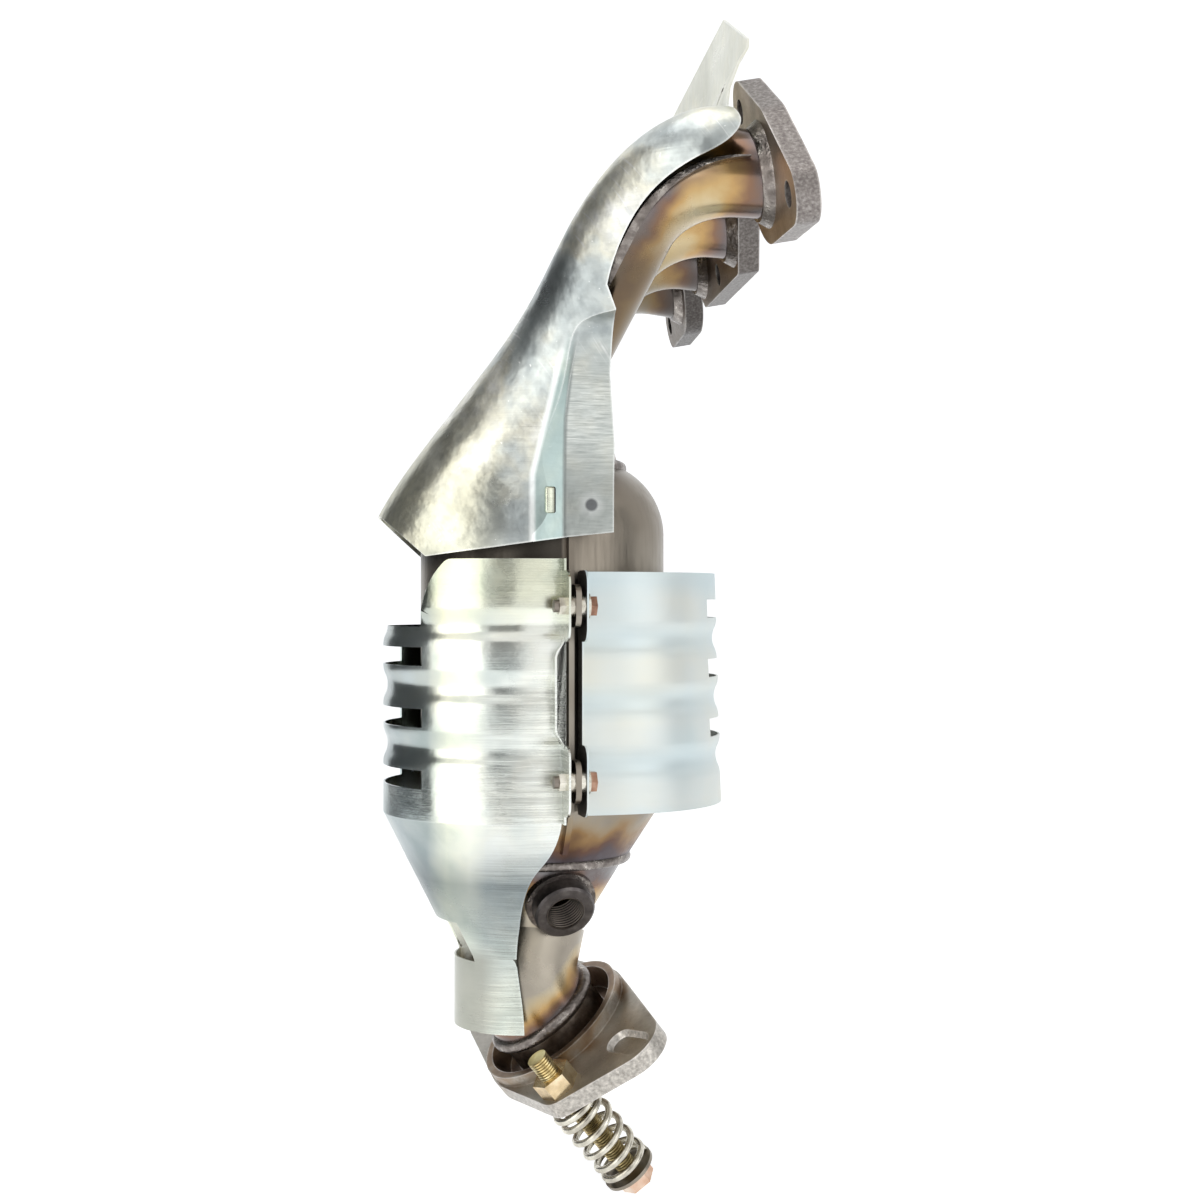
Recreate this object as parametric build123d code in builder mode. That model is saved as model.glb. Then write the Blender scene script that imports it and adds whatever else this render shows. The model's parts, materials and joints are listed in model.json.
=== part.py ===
"""Exhaust manifold with a close-coupled catalytic converter for a four-cylinder engine.

The frame's origin is the middle of the centre port flange's head face. +X points to the
cylinder head, Y runs along the row of ports and +Z is up, along the converter's can.
Millimetres throughout.
"""
import os
from math import cos, radians, sin, tan

from build123d import *

# Port flanges and the face that they share with the cylinder head
port_pitch = 84.0
flange_tilt = 10.0
flange_thickness = 9.5
port_radius = 15.5
port_land_radius = 27.0
stud_hole_radius = 5.0
stud_lobe_radius = 12.0
outer_low_stud = (37.0, -16.0)
outer_high_stud = (-20.0, 30.0)
centre_flange_half_length = 69.0
centre_flange_bottom = 25.0
centre_flange_top = 27.0
centre_stud_offset = 17.0

# Runners, pressed as two half shells and welded along the seam
runner_radius = 17.0
runner_wall = 1.8
runner_bend_radius = 48.0
runner_bend = (-47.0, 2.0)
runner_end = (-85.0, -75.5)
outer_runner_bend_y = 115.0
inner_runner_bend_y = 39.0
outer_runner_end_y = 29.0
inner_runner_end_y = 10.0
lip_reach = 2.5
lip_thickness = 1.2
seam_weld_reach = 3.7
seam_weld_half_width = 1.9
seam_end_gap = 7.0
port_weld_size = 4.0

# Collector under the four runners
collector_top_z = -68.0
collector_top_size = (44.0, 92.0)
collector_top_radius = 20.0
collector_neck_z = -97.0
collector_neck_radius = 31.6
collector_end_z = -108.0
collector_end_radius = 35.0
collector_dome = 9.0
collector_weld_size = 3.2

# Can: two halves with a fin along each side, and what it holds
can_x = -87.0
can_radius = 55.0
can_wall = 1.5
can_inlet_radius = 36.0
can_shoulder_z = -140.0
can_shoulder_bulge = (47.8, -117.5)
can_cone_z = -257.5
can_outlet_z = -283.0
can_outlet_radius = 38.5
can_turn = 8.2
fin_thickness = 1.2
fin_reach = 5.0
fin_tab_reach = 19.0
fin_tab_half_height = 9.0
fin_top_z = -112.0
fin_bottom_z = -277.0
mat_thickness = 4.0
brick_top_z = -150.0
brick_length = 98.0
cone_weld_size = 2.6

# Outlet pipe: a cone, a short straight and an elbow
pipe_radius = 24.0
pipe_wall = 1.8
pipe_top = (-91.5, -312.5)
pipe_last_run = 16.5
pipe_knee_radius = 26.0

# Boss for the oxygen sensor, on the cone
boss_base = (-81.0, -27.0, -299.5)
boss_axis = (0.2, -0.85, -0.49)
boss_radius = 13.5
boss_bore_radius = 8.2
boss_height = 9.5
boss_root = 6.0
boss_weld_size = 2.2

# Outlet flange, dished, with two spring bolts
outlet_centre = (-83.5, 0.0, -357.5)
outlet_lean = 38.0
outlet_swing = 12.0
dish_radius = 36.0
dish_wall = 3.5
dish_floor_radius = 29.0
dish_height = 5.5
outlet_plate = 8.0
collar_radius = 24.0
collar_wall = 2.0
collar_top = 7.0
collar_drop = 4.0
collar_weld_size = 3.0
seat_radius = 33.0
seat_small_radius = 28.0
seat_height = 9.0
spring_bolt_place = (-10.5, 49.0)
spring_bolt_lobe = 10.5
spring_bolt_radius = 4.6
spring_bolt_clearance = 0.4
spring_bolt_tip = 12.0
spring_bolt_nut_across = 16.0
spring_bolt_nut_height = 8.0
spring_bolt_head_across = 14.0
spring_bolt_head_height = 7.0
spring_washer_radius = 12.0
spring_washer_thickness = 1.6
spring_length = 42.0
spring_coil_radius = 10.4
spring_wire_radius = 1.3
spring_turns = 5.5
dimple_place = (24.0, 56.0)
dimple_lobe = 15.0
dimple_length = 26.0
dimple_width = 13.0
dimple_depth = 2.5
dimple_turn = 65.0
dimple_taper = 35.0

# Can heat shields, one each side of the fins
shield_sheet = 0.9
shield_radius = 60.0
shield_flange_reach = 15.0
shield_flange_corner = 6.0
front_shield_axis = -12.0
rear_shield_axis = 19.0
front_shield_face = -3.4
rear_shield_face = 3.4
front_shield_top = -150.0
front_shield_foot = -262.0
rear_shield_top = -155.5
rear_shield_foot = -258.5
front_groove_top = -178.6
rear_groove_top = -184.5
groove_pitch = 26.4
groove_depth = 2.0
groove_half_width = 6.5
slot_height = 8.0
front_slot_half_angle = 36.5
rear_slot_half_angle = 38.0
rear_flare = 3.0
front_rim_z = -179.2
front_ear_x = -142.0
front_ear_arc = ((-142.0, -173.0), (-138.7, -160.5), (-129.7, -149.0))
front_edge_set_back = 4.0
front_edge_tab = 15.0
front_edge_ramp = 5.0
shield_bolt_z = (-170.0, -243.5)
shield_bolt_reach = 68.5
shield_bolt_radius = 2.7
shield_bolt_clearance = 0.3
shield_bolt_head_across = 8.0
shield_bolt_head_height = 3.0
shield_nut_across = 7.0
shield_nut_height = 3.4
shield_washer_radius = 5.5
shield_washer_thickness = 1.0
shield_bolt_tail = 2.0

# Skirt of the front shield, from the can's cone to the outlet pipe
skirt_neck = (-92.0, -309.0, 43.5)
skirt_foot_top = (-96.5, -326.0, 30.5)
skirt_foot = (-96.5, -358.0, 30.5)
skirt_window_z = (-327.0, -309.0)
skirt_window_half_angle = 26.0
skirt_edge_line = [
    (-4.4, -255.0),
    (-4.4, -267.0),
    (-8.5, -277.5),
    (-14.5, -286.0),
    (-17.8, -297.0),
    (-17.0, -330.0),
    (-14.2, -362.0),
]

# Upper heat shield over the runners
cover_sheet = 1.0
cover_port_x = -21.0
cover_port_top = 20.5
cover_half_width = 149.0
cover_flange_height = 52.0
cover_flange_end_height = 27.0
cover_flange_corner = 56.0
cover_flange_x = -17.0
cover_foot_radius = 72.0
strip_sections = [
    (-150.0, -95.5, -82.0, 67.5, 63.9),
    (-136.0, -95.5, -82.0, 67.8, 64.1),
    (-122.0, -95.5, -82.0, 68.3, 64.6),
    (-108.0, -94.0, -82.0, 70.2, 66.4),
    (-92.0, -89.5, -82.0, 75.6, 71.5),
    (-72.0, -84.0, -80.0, 83.0, 79.3),
    (-50.0, -82.0, -78.0, 99.0, 98.0),
]
strip_outer_x = -40.0
cover_bracket_x = -71.0
cover_bracket_width = 14.0
cover_bracket_z = -134.0
cover_bracket_height = 13.0
cover_bracket_sheet = 1.5
cover_bracket_inset = 11.0

turn = radians(can_turn)
seam_out = (cos(turn), sin(turn), 0.0)
seam_along = (-sin(turn), cos(turn), 0.0)
head = Plane(
    origin=(0, 0, 0),
    x_dir=(0, 1, 0),
    z_dir=(cos(radians(flange_tilt)), 0, sin(radians(flange_tilt))),
)
runner_face = head.offset(-flange_thickness)
can_up = Plane(origin=(can_x, 0, 0), x_dir=seam_out, z_dir=(0, 0, 1))
seam = Plane(origin=(can_x, 0, 0), x_dir=seam_along, z_dir=seam_out)
lean = radians(outlet_lean)
swing = radians(outlet_swing)
outlet_axis = (sin(lean) * cos(swing), sin(swing), -cos(lean) * cos(swing))
outlet = Plane(origin=outlet_centre, x_dir=(cos(lean), 0, sin(lean)), z_dir=outlet_axis)
port_rows = [-1.5 * port_pitch, -0.5 * port_pitch, 0.5 * port_pitch, 1.5 * port_pitch]
far = 400.0


def runner_route(port_y):
    """Start, bend and end of the centre line that serves one port."""
    side = 1 if port_y > 0 else -1
    outer = abs(port_y) > port_pitch
    bend_y = outer_runner_bend_y if outer else inner_runner_bend_y
    end_y = outer_runner_end_y if outer else inner_runner_end_y
    start = runner_face.from_local_coords(Vector(port_y, 0, 0))
    bend = Vector(runner_bend[0], side * bend_y, runner_bend[1])
    end = Vector(runner_end[0], side * end_y, runner_end[1])
    start = start + (start - bend).normalized() * runner_radius / 2
    return start, bend, end


def runners(grow):
    """The four runners as solid bars, grown outwards from the tube's radius."""
    with BuildPart() as bars:
        for port_y in port_rows:
            start, bend, end = runner_route(port_y)
            with BuildLine() as route:
                FilletPolyline(start, bend, end, radius=runner_bend_radius)
            with BuildSketch(Plane(origin=start, z_dir=bend - start)):
                Circle(runner_radius + grow)
            sweep(path=route.line)
    return bars.part


def collector(grow):
    """The collector's outer form, grown outwards."""
    top = Plane.XY.offset(collector_top_z + grow)
    neck = Plane(origin=(can_x, 0, collector_neck_z))
    with BuildPart() as bowl:
        with BuildSketch(top):
            with Locations((can_x + 4, 0)):
                RectangleRounded(
                    collector_top_size[0] + 2 * grow,
                    collector_top_size[1] + 2 * grow,
                    collector_top_radius + grow,
                )
        with BuildSketch(neck):
            Circle(collector_neck_radius + grow)
        loft()
        with BuildSketch(top):
            with Locations((can_x + 4, 0)):
                RectangleRounded(
                    collector_top_size[0] + 2 * grow,
                    collector_top_size[1] + 2 * grow,
                    collector_top_radius + grow,
                )
        with BuildSketch(top.offset(collector_dome / 2)):
            with Locations((can_x + 4, 0)):
                RectangleRounded(
                    collector_top_size[0] + 2 * grow - 2 * collector_dome,
                    collector_top_size[1] + 2 * grow - 2 * collector_dome,
                    collector_top_radius + grow - collector_dome,
                )
        loft()
        with BuildSketch(neck):
            Circle(collector_neck_radius + grow)
        with BuildSketch(Plane(origin=(can_x, 0, collector_end_z))):
            Circle(collector_end_radius + grow)
        loft()
    return bowl.part


def outer_side(shift):
    """Everything on the shield's side of the runners' seam, moved across the seam by shift."""
    with BuildPart() as side:
        with BuildSketch(Plane.XZ):
            with BuildLine():
                seam_line = FilletPolyline(
                    (30 + shift, shift),
                    (runner_bend[0] + shift, runner_bend[1] - shift),
                    (runner_end[0] + shift, runner_end[1] - shift),
                    (can_x + shift, -far),
                    radius=(runner_bend_radius * 0.9, runner_radius),
                )
                Polyline(
                    seam_line @ 1,
                    (-far, -far),
                    (-far, far),
                    (30 + shift, far),
                    seam_line @ 0,
                )
            make_face()
        extrude(amount=far, both=True)
    return side.part


def beyond_face(plane):
    """Everything past a plane, on its normal's side."""
    with BuildPart() as space:
        with BuildSketch(plane):
            Rectangle(2 * far, 2 * far)
        extrude(amount=far)
    return space.part


# Runners and collector as one hollow form, split along the seam
head_space = beyond_face(runner_face)
seam_end_space = beyond_face(runner_face.offset(-seam_end_gap))
front_space = outer_side(0)
seam_layer = outer_side(0.7 * lip_thickness) - outer_side(-0.7 * lip_thickness)
weld_layer = outer_side(0.7 * seam_weld_half_width) - outer_side(-0.7 * seam_weld_half_width)
duct_outside = runners(0) + collector(0)
duct_inside = runners(-runner_wall) + collector(-runner_wall)
with BuildPart() as collector_floor:
    with BuildSketch(Plane(origin=(can_x, 0, collector_end_z))):
        Circle(collector_end_radius - runner_wall)
    extrude(amount=-runner_wall, both=True)
duct_inside = duct_inside + collector_floor.part
lips = (runners(lip_reach) + collector(lip_reach)) & seam_layer
lips = lips - duct_outside - seam_end_space
seam_bead = (runners(seam_weld_reach) + collector(seam_weld_reach)) & weld_layer
neck_space = beyond_face(Plane(origin=(can_x, 0, collector_neck_z), z_dir=(0, 0, -1)))
seam_bead = seam_bead - duct_outside - lips - seam_end_space - neck_space
lips = lips - neck_space
duct_skin = duct_outside - duct_inside - head_space

with BuildPart() as manifold_upper_shell:
    add(duct_skin + lips)
    add(front_space, mode=Mode.INTERSECT)
manifold_upper_shell.part.label = "manifold_upper_shell"

with BuildPart() as manifold_lower_shell:
    add(duct_skin + lips)
    add(front_space, mode=Mode.SUBTRACT)
manifold_lower_shell.part.label = "manifold_lower_shell"

with BuildPart() as manifold_seam_weld:
    add(seam_bead)
manifold_seam_weld.part.label = "manifold_seam_weld"


def end_port_flange(side):
    """Single-port flange for the front (-1) or rear (1) port."""
    port_y = side * 1.5 * port_pitch
    low = (port_y + side * outer_low_stud[0], outer_low_stud[1])
    high = (port_y + side * outer_high_stud[0], outer_high_stud[1])
    with BuildPart() as plate:
        with BuildSketch(head):
            with Locations((port_y, 0)):
                Circle(port_land_radius)
            with Locations(low, high):
                Circle(stud_lobe_radius)
            make_hull()
            with Locations((port_y, 0)):
                Circle(port_radius, mode=Mode.SUBTRACT)
            with Locations(low, high):
                Circle(stud_hole_radius, mode=Mode.SUBTRACT)
        extrude(amount=-flange_thickness)
    return plate.part


with BuildPart() as port_flange_front:
    add(end_port_flange(-1))
port_flange_front.part.label = "port_flange_front"

with BuildPart() as port_flange_rear:
    add(end_port_flange(1))
port_flange_rear.part.label = "port_flange_rear"

with BuildPart() as port_flange_centre:
    with BuildSketch(head):
        end = centre_flange_half_length
        slope = end - port_pitch / 2 - 4
        with BuildLine():
            Polyline(
                (slope - end, -centre_flange_bottom),
                (end - slope, -centre_flange_bottom),
                (end, -2),
                (end - 7, centre_flange_top - 9),
                (end - slope, centre_flange_top),
                (slope - end, centre_flange_top),
                (7 - end, centre_flange_top - 9),
                (-end, -2),
                close=True,
            )
        make_face()
        fillet(vertices(), 5)
        with Locations((-port_pitch / 2, 0), (port_pitch / 2, 0)):
            Circle(port_radius, mode=Mode.SUBTRACT)
        with Locations((0, -centre_stud_offset), (0, centre_stud_offset)):
            Circle(stud_hole_radius, mode=Mode.SUBTRACT)
    extrude(amount=-flange_thickness)
port_flange_centre.part.label = "port_flange_centre"

with BuildPart() as port_welds:
    for port_y in port_rows:
        ring = Plane(origin=runner_face.from_local_coords(Vector(port_y, 0, 0)), z_dir=head.z_dir)
        with BuildSketch(ring):
            Circle(runner_radius + port_weld_size)
        with BuildSketch(ring.offset(-port_weld_size)):
            Circle(runner_radius + 1)
        loft()
    add(duct_outside, mode=Mode.SUBTRACT)
port_welds.part.label = "port_welds"


def can_profile(grow):
    """Half outline of the can from its inlet to its outlet, grown outwards, with its axis."""
    with BuildLine() as line:
        ThreePointArc(
            (can_inlet_radius + grow, collector_end_z),
            (can_shoulder_bulge[0] + grow, can_shoulder_bulge[1]),
            (can_radius + grow, can_shoulder_z),
        )
        Polyline(
            (can_radius + grow, can_shoulder_z),
            (can_radius + grow, can_cone_z),
            (can_outlet_radius + grow, can_outlet_z),
            (0, can_outlet_z),
            (0, collector_end_z),
            (can_inlet_radius + grow, collector_end_z),
        )
    return line.line


can_side = Plane(origin=(can_x, 0, 0), x_dir=seam_out, z_dir=(sin(turn), -cos(turn), 0))


def can_form(grow):
    """The can as a solid of revolution, grown outwards."""
    with BuildPart() as form:
        with BuildSketch(can_side):
            with BuildLine():
                add(can_profile(grow))
            make_face()
        revolve(axis=Axis(origin=(can_x, 0, 0), direction=(0, 0, 1)))
    return form.part


can_outside = can_form(0)
can_inside = can_form(-can_wall)


def fin_sheet(sign):
    """One half's fin along both sides of the can, on the sign side of the seam."""
    with BuildPart() as sheet:
        with BuildSketch(seam):
            with BuildLine():
                Polyline(
                    (0, fin_top_z),
                    (can_inlet_radius + 9, fin_top_z),
                    (can_radius + fin_reach, can_shoulder_z + 4),
                    (can_radius + fin_reach, can_cone_z),
                    (can_outlet_radius + fin_reach + 4, fin_bottom_z),
                    (0, fin_bottom_z),
                    close=True,
                )
            make_face()
            with Locations(*[(can_radius, z) for z in shield_bolt_z]):
                RectangleRounded(2 * fin_tab_reach, 2 * fin_tab_half_height, 5)
            mirror(about=Plane.YZ)
            with Locations(*[(s * shield_bolt_reach, z) for s in (-1, 1) for z in shield_bolt_z]):
                Circle(shield_bolt_radius + shield_bolt_clearance, mode=Mode.SUBTRACT)
        extrude(amount=sign * fin_thickness)
        add(can_outside, mode=Mode.SUBTRACT)
    return sheet.part


rear_space = beyond_face(seam)

with BuildPart() as can_front_half:
    add(can_outside)
    add(can_inside, mode=Mode.SUBTRACT)
    add(rear_space, mode=Mode.SUBTRACT)
    add(fin_sheet(-1))
can_front_half.part.label = "can_front_half"

with BuildPart() as can_rear_half:
    add(can_outside)
    add(can_inside, mode=Mode.SUBTRACT)
    add(rear_space, mode=Mode.INTERSECT)
    add(fin_sheet(1))
can_rear_half.part.label = "can_rear_half"

brick_radius = can_radius - can_wall - mat_thickness
with BuildPart() as support_mat:
    with BuildSketch(Plane(origin=(can_x, 0, brick_top_z - brick_length))):
        Circle(brick_radius + mat_thickness)
        Circle(brick_radius, mode=Mode.SUBTRACT)
    extrude(amount=brick_length)
support_mat.part.label = "support_mat"

with BuildPart() as catalyst_brick:
    with BuildSketch(Plane(origin=(can_x, 0, brick_top_z - brick_length))):
        Circle(brick_radius)
    extrude(amount=brick_length)
catalyst_brick.part.label = "catalyst_brick"


def weld_ring(name_plane, radius, size):
    """Weld bead of a round joint, as a ring of half-round section."""
    with BuildPart() as bead:
        with BuildSketch(name_plane):
            with Locations((radius, 0)):
                Circle(size)
                Rectangle(2 * size, 2 * size, align=(Align.MAX, Align.CENTER), mode=Mode.SUBTRACT)
        revolve(axis=Axis(origin=name_plane.origin, direction=name_plane.y_dir))
    return bead.part


neck_joint = Plane(origin=(can_x, 0, collector_end_z), x_dir=(1, 0, 0), z_dir=(0, -1, 0))
with BuildPart() as collector_weld:
    add(weld_ring(neck_joint, can_inlet_radius - 1, collector_weld_size))
    add(duct_outside, mode=Mode.SUBTRACT)
    add(can_outside, mode=Mode.SUBTRACT)
    for half in (can_front_half, can_rear_half):
        add(half.part, mode=Mode.SUBTRACT)
collector_weld.part.label = "collector_weld"

# Outlet cone, straight and elbow as one pipe
collar_face = outlet.offset(-collar_top)
pipe_start = Vector(pipe_top[0], 0, pipe_top[1])
pipe_knee = collar_face.offset(-pipe_last_run).origin


def pipe_form(grow):
    """The outlet pipe as a solid, grown outwards."""
    with BuildPart() as form:
        with BuildSketch(Plane(origin=(can_x, 0, can_outlet_z))):
            Circle(can_outlet_radius - 1 + grow)
        with BuildSketch(Plane(origin=pipe_start, x_dir=(1, 0, 0), z_dir=(0, 0, 1))):
            Circle(pipe_radius + grow)
        loft()
        with BuildLine() as route:
            FilletPolyline(pipe_start, pipe_knee, collar_face.origin, radius=pipe_knee_radius)
        with BuildSketch(Plane(origin=pipe_start, z_dir=route.line % 0)):
            Circle(pipe_radius + grow)
        sweep(path=route.line)
        with BuildSketch(Plane(origin=pipe_start, x_dir=(1, 0, 0), z_dir=(0, 0, 1))):
            Circle(pipe_radius + grow)
        extrude(amount=3, both=True)
    return form.part


collar_space = beyond_face(collar_face)
pipe_outside = pipe_form(0) - collar_space
pipe_inside = pipe_form(-pipe_wall)
boss_plane = Plane(origin=boss_base, z_dir=boss_axis)
with BuildPart() as boss_hole:
    with BuildSketch(boss_plane.offset(-2 * boss_root)):
        Circle(boss_radius)
    extrude(amount=3 * boss_root)

with BuildPart() as outlet_pipe:
    add(pipe_outside)
    add(pipe_inside, mode=Mode.SUBTRACT)
    add(boss_hole.part, mode=Mode.SUBTRACT)
outlet_pipe.part.label = "outlet_pipe"

with BuildPart() as sensor_boss:
    with BuildSketch(boss_plane.offset(-boss_root)):
        Circle(boss_radius)
        Circle(boss_bore_radius, mode=Mode.SUBTRACT)
    extrude(amount=boss_root + boss_height)
    chamfer(sensor_boss.faces().sort_by(Axis(boss_base, boss_axis))[-1].outer_wire().edges(), 1)
sensor_boss.part.label = "sensor_boss"

with BuildPart() as boss_weld:
    with BuildSketch(boss_plane.offset(-boss_root)):
        Circle(boss_radius + boss_weld_size)
        Circle(boss_radius, mode=Mode.SUBTRACT)
    extrude(amount=boss_root + boss_weld_size)
    add(pipe_outside, mode=Mode.SUBTRACT)
    add(can_outside, mode=Mode.SUBTRACT)
boss_weld.part.label = "boss_weld"

cone_joint = Plane(origin=(can_x, 0, can_outlet_z), x_dir=(1, 0, 0), z_dir=(0, -1, 0))
with BuildPart() as cone_weld:
    add(weld_ring(cone_joint, can_outlet_radius - 1, cone_weld_size))
    add(pipe_outside, mode=Mode.SUBTRACT)
    add(can_outside, mode=Mode.SUBTRACT)
    for piece in (can_front_half, can_rear_half, sensor_boss, boss_weld):
        add(piece.part, mode=Mode.SUBTRACT)
cone_weld.part.label = "cone_weld"

# Outlet flange and the collar through it
plate_face = outlet.offset(dish_height)
plate_back = outlet.offset(dish_height + outlet_plate)
bolt_x, bolt_y = spring_bolt_place
bolt_places = [(bolt_x, bolt_y), (-bolt_x, -bolt_y)]
dimple_places = [dimple_place, (-dimple_place[0], -dimple_place[1])]
bolt_hole_radius = spring_bolt_radius + spring_bolt_clearance

with BuildPart() as outlet_flange:
    with BuildSketch(plate_face):
        Circle(dish_radius + 1)
        with Locations(*bolt_places):
            Circle(spring_bolt_lobe)
        with Locations(*dimple_places):
            Circle(dimple_lobe)
        make_hull()
    extrude(amount=outlet_plate)
    with BuildSketch(outlet):
        Circle(dish_radius)
    extrude(amount=dish_height + 1)
    with BuildSketch(outlet):
        Circle(dish_radius - dish_wall)
    with BuildSketch(outlet.offset(dish_height + collar_drop)):
        Circle(dish_floor_radius)
    loft(mode=Mode.SUBTRACT)
    with BuildSketch(outlet):
        Circle(collar_radius)
    extrude(amount=far / 4, mode=Mode.SUBTRACT)
    with BuildSketch(plate_face):
        with Locations(*bolt_places):
            Circle(bolt_hole_radius)
    extrude(amount=outlet_plate, mode=Mode.SUBTRACT)
    with BuildSketch(plate_face):
        with Locations(*dimple_places):
            SlotOverall(dimple_length, dimple_width, rotation=dimple_turn)
    extrude(amount=dimple_depth, taper=dimple_taper, mode=Mode.SUBTRACT)
outlet_flange.part.label = "outlet_flange"

collar_length = collar_top + dish_height + outlet_plate + seat_height
with BuildPart() as outlet_collar:
    with BuildSketch(collar_face):
        Circle(collar_radius)
        Circle(collar_radius - collar_wall, mode=Mode.SUBTRACT)
    extrude(amount=collar_length)
outlet_collar.part.label = "outlet_collar"

with BuildPart() as joint_seat:
    with BuildSketch(plate_back):
        Circle(seat_radius)
    with BuildSketch(plate_back.offset(seat_height)):
        Circle(seat_small_radius)
    loft()
    with BuildSketch(plate_back):
        Circle(collar_radius)
    extrude(amount=seat_height, mode=Mode.SUBTRACT)
joint_seat.part.label = "joint_seat"

collar_joint = Plane(origin=collar_face.origin, x_dir=outlet.x_dir, z_dir=outlet.y_dir)
with BuildPart() as collar_weld:
    add(weld_ring(collar_joint, collar_radius, collar_weld_size))
collar_weld.part.label = "collar_weld"

# Spring bolts: nut on the dished side, spring and head on the joint's side
head_depth = dish_height + outlet_plate + spring_length + spring_washer_thickness

with BuildPart() as spring_bolts:
    for place in bolt_places:
        with BuildSketch(outlet.offset(-spring_bolt_tip)):
            with Locations(place):
                Circle(spring_bolt_radius)
        extrude(amount=spring_bolt_tip + head_depth)
        with BuildSketch(outlet.offset(head_depth)):
            with Locations(place):
                RegularPolygon(spring_bolt_head_across / 2, 6, major_radius=False)
        extrude(amount=spring_bolt_head_height)
spring_bolts.part.label = "spring_bolts"

with BuildPart() as spring_bolt_nuts:
    for place in bolt_places:
        with BuildSketch(plate_face):
            with Locations(place):
                RegularPolygon(spring_bolt_nut_across / 2, 6, major_radius=False)
                Circle(spring_bolt_radius, mode=Mode.SUBTRACT)
        extrude(amount=-spring_bolt_nut_height)
spring_bolt_nuts.part.label = "spring_bolt_nuts"

with BuildPart() as spring_washers:
    for place in bolt_places:
        with BuildSketch(outlet.offset(head_depth - spring_washer_thickness)):
            with Locations(place):
                Circle(spring_washer_radius)
                Circle(bolt_hole_radius, mode=Mode.SUBTRACT)
        extrude(amount=spring_washer_thickness)
spring_washers.part.label = "spring_washers"

coil_pitch = (spring_length - 2 * spring_wire_radius) / spring_turns
with BuildPart() as springs:
    for place in bolt_places:
        foot = plate_back.offset(spring_wire_radius)
        middle = foot.from_local_coords(Vector(place[0], place[1], 0))
        with BuildLine() as coil:
            Helix(
                pitch=coil_pitch,
                height=coil_pitch * spring_turns,
                radius=spring_coil_radius,
                center=middle,
                direction=outlet_axis,
            )
        with BuildSketch(Plane(origin=coil.line @ 0, z_dir=coil.line % 0)):
            RegularPolygon(spring_wire_radius, 6)
        sweep(path=coil.line, is_frenet=True)
springs.part.label = "springs"


def ribbed_outline(top, foot, groove_top, grow, flare):
    """Outline of a shield's wall from top to foot, with three pressed grooves."""
    points = [(shield_radius + grow, top)]
    for number in range(3):
        z = groove_top - number * groove_pitch
        radius = shield_radius + grow + flare * (top - z) / (top - foot)
        points.append((radius, z + groove_half_width))
        points.append((radius - groove_depth, z + groove_half_width / 3))
        points.append((radius - groove_depth, z - groove_half_width / 3))
        points.append((radius, z - groove_half_width))
    points.append((shield_radius + grow + flare, foot))
    return points


def shield_block(axis_x, face_x, sign, outline):
    """A U-shaped block from an outline: half a turn about the axis and two straight sides."""
    top = outline[0][1]
    foot = outline[-1][1]
    middle = can_up.from_local_coords(Vector(axis_x, 0, 0))
    side_plane = Plane(origin=middle, x_dir=seam_along, z_dir=seam_out)
    with BuildPart() as block:
        with BuildSketch(side_plane):
            with BuildLine():
                Polyline(*outline, (0, foot), (0, top), close=True)
            make_face()
        revolve(axis=Axis(origin=middle, direction=(0, 0, -sign)), revolution_arc=180)
        with BuildSketch(side_plane) as side_sketch:
            with BuildLine():
                Polyline(*outline, (0, foot), (0, top), close=True)
            make_face()
            mirror(about=Plane.YZ)
        extrude(amount=face_x - axis_x)
    return block.part


def edge_line(face_x, sign, top, foot, set_back):
    """Side view of a shield's edge: close to the fins at the bolts, set back between them."""
    upper, lower = shield_bolt_z
    back_x = face_x + sign * set_back
    return [
        (face_x, top),
        (face_x, upper - front_edge_tab),
        (back_x, upper - front_edge_tab - front_edge_ramp),
        (back_x, lower + front_edge_tab + front_edge_ramp),
        (face_x, lower + front_edge_tab),
        (face_x, foot),
    ]


def shield_flange(face_x, sign, top, foot, set_back):
    """Turned-out flanges of a can shield, a wide tab at each bolt."""
    middle = can_up.from_local_coords(Vector(face_x, 0, 0))
    face_plane = Plane(origin=middle, x_dir=seam_along, z_dir=seam_out)
    inner = shield_radius - 3
    near = edge_line(face_x, sign, top, foot, set_back)
    away = edge_line(face_x + sign * shield_sheet, sign, top, foot, set_back)
    with BuildPart() as flange:
        with BuildSketch(can_side):
            with BuildLine():
                Polyline(*near, *reversed(away), close=True)
            make_face()
        extrude(amount=inner + 8, both=True)
        with BuildSketch(can_side):
            Rectangle(2 * far, 2 * far)
        extrude(amount=inner, both=True, mode=Mode.SUBTRACT)
        with BuildSketch(face_plane):
            with Locations(*[(s * (inner + shield_flange_reach / 2), z) for s in (-1, 1) for z in shield_bolt_z]):
                RectangleRounded(shield_flange_reach + 4, 2 * front_edge_tab, shield_flange_corner)
        extrude(amount=sign * shield_sheet)
        with BuildSketch(face_plane):
            with Locations(*[(s * shield_bolt_reach, z) for s in (-1, 1) for z in shield_bolt_z]):
                Circle(shield_bolt_radius + shield_bolt_clearance)
        extrude(amount=sign * shield_sheet, mode=Mode.SUBTRACT)
    return flange.part


def past_edge(line):
    """Everything between a shield's set-back edge and the fins."""
    with BuildPart() as space:
        with BuildSketch(can_side):
            with BuildLine():
                Polyline(*line[1:-1], close=True)
            make_face()
        extrude(amount=far, both=True)
    return space.part


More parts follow.
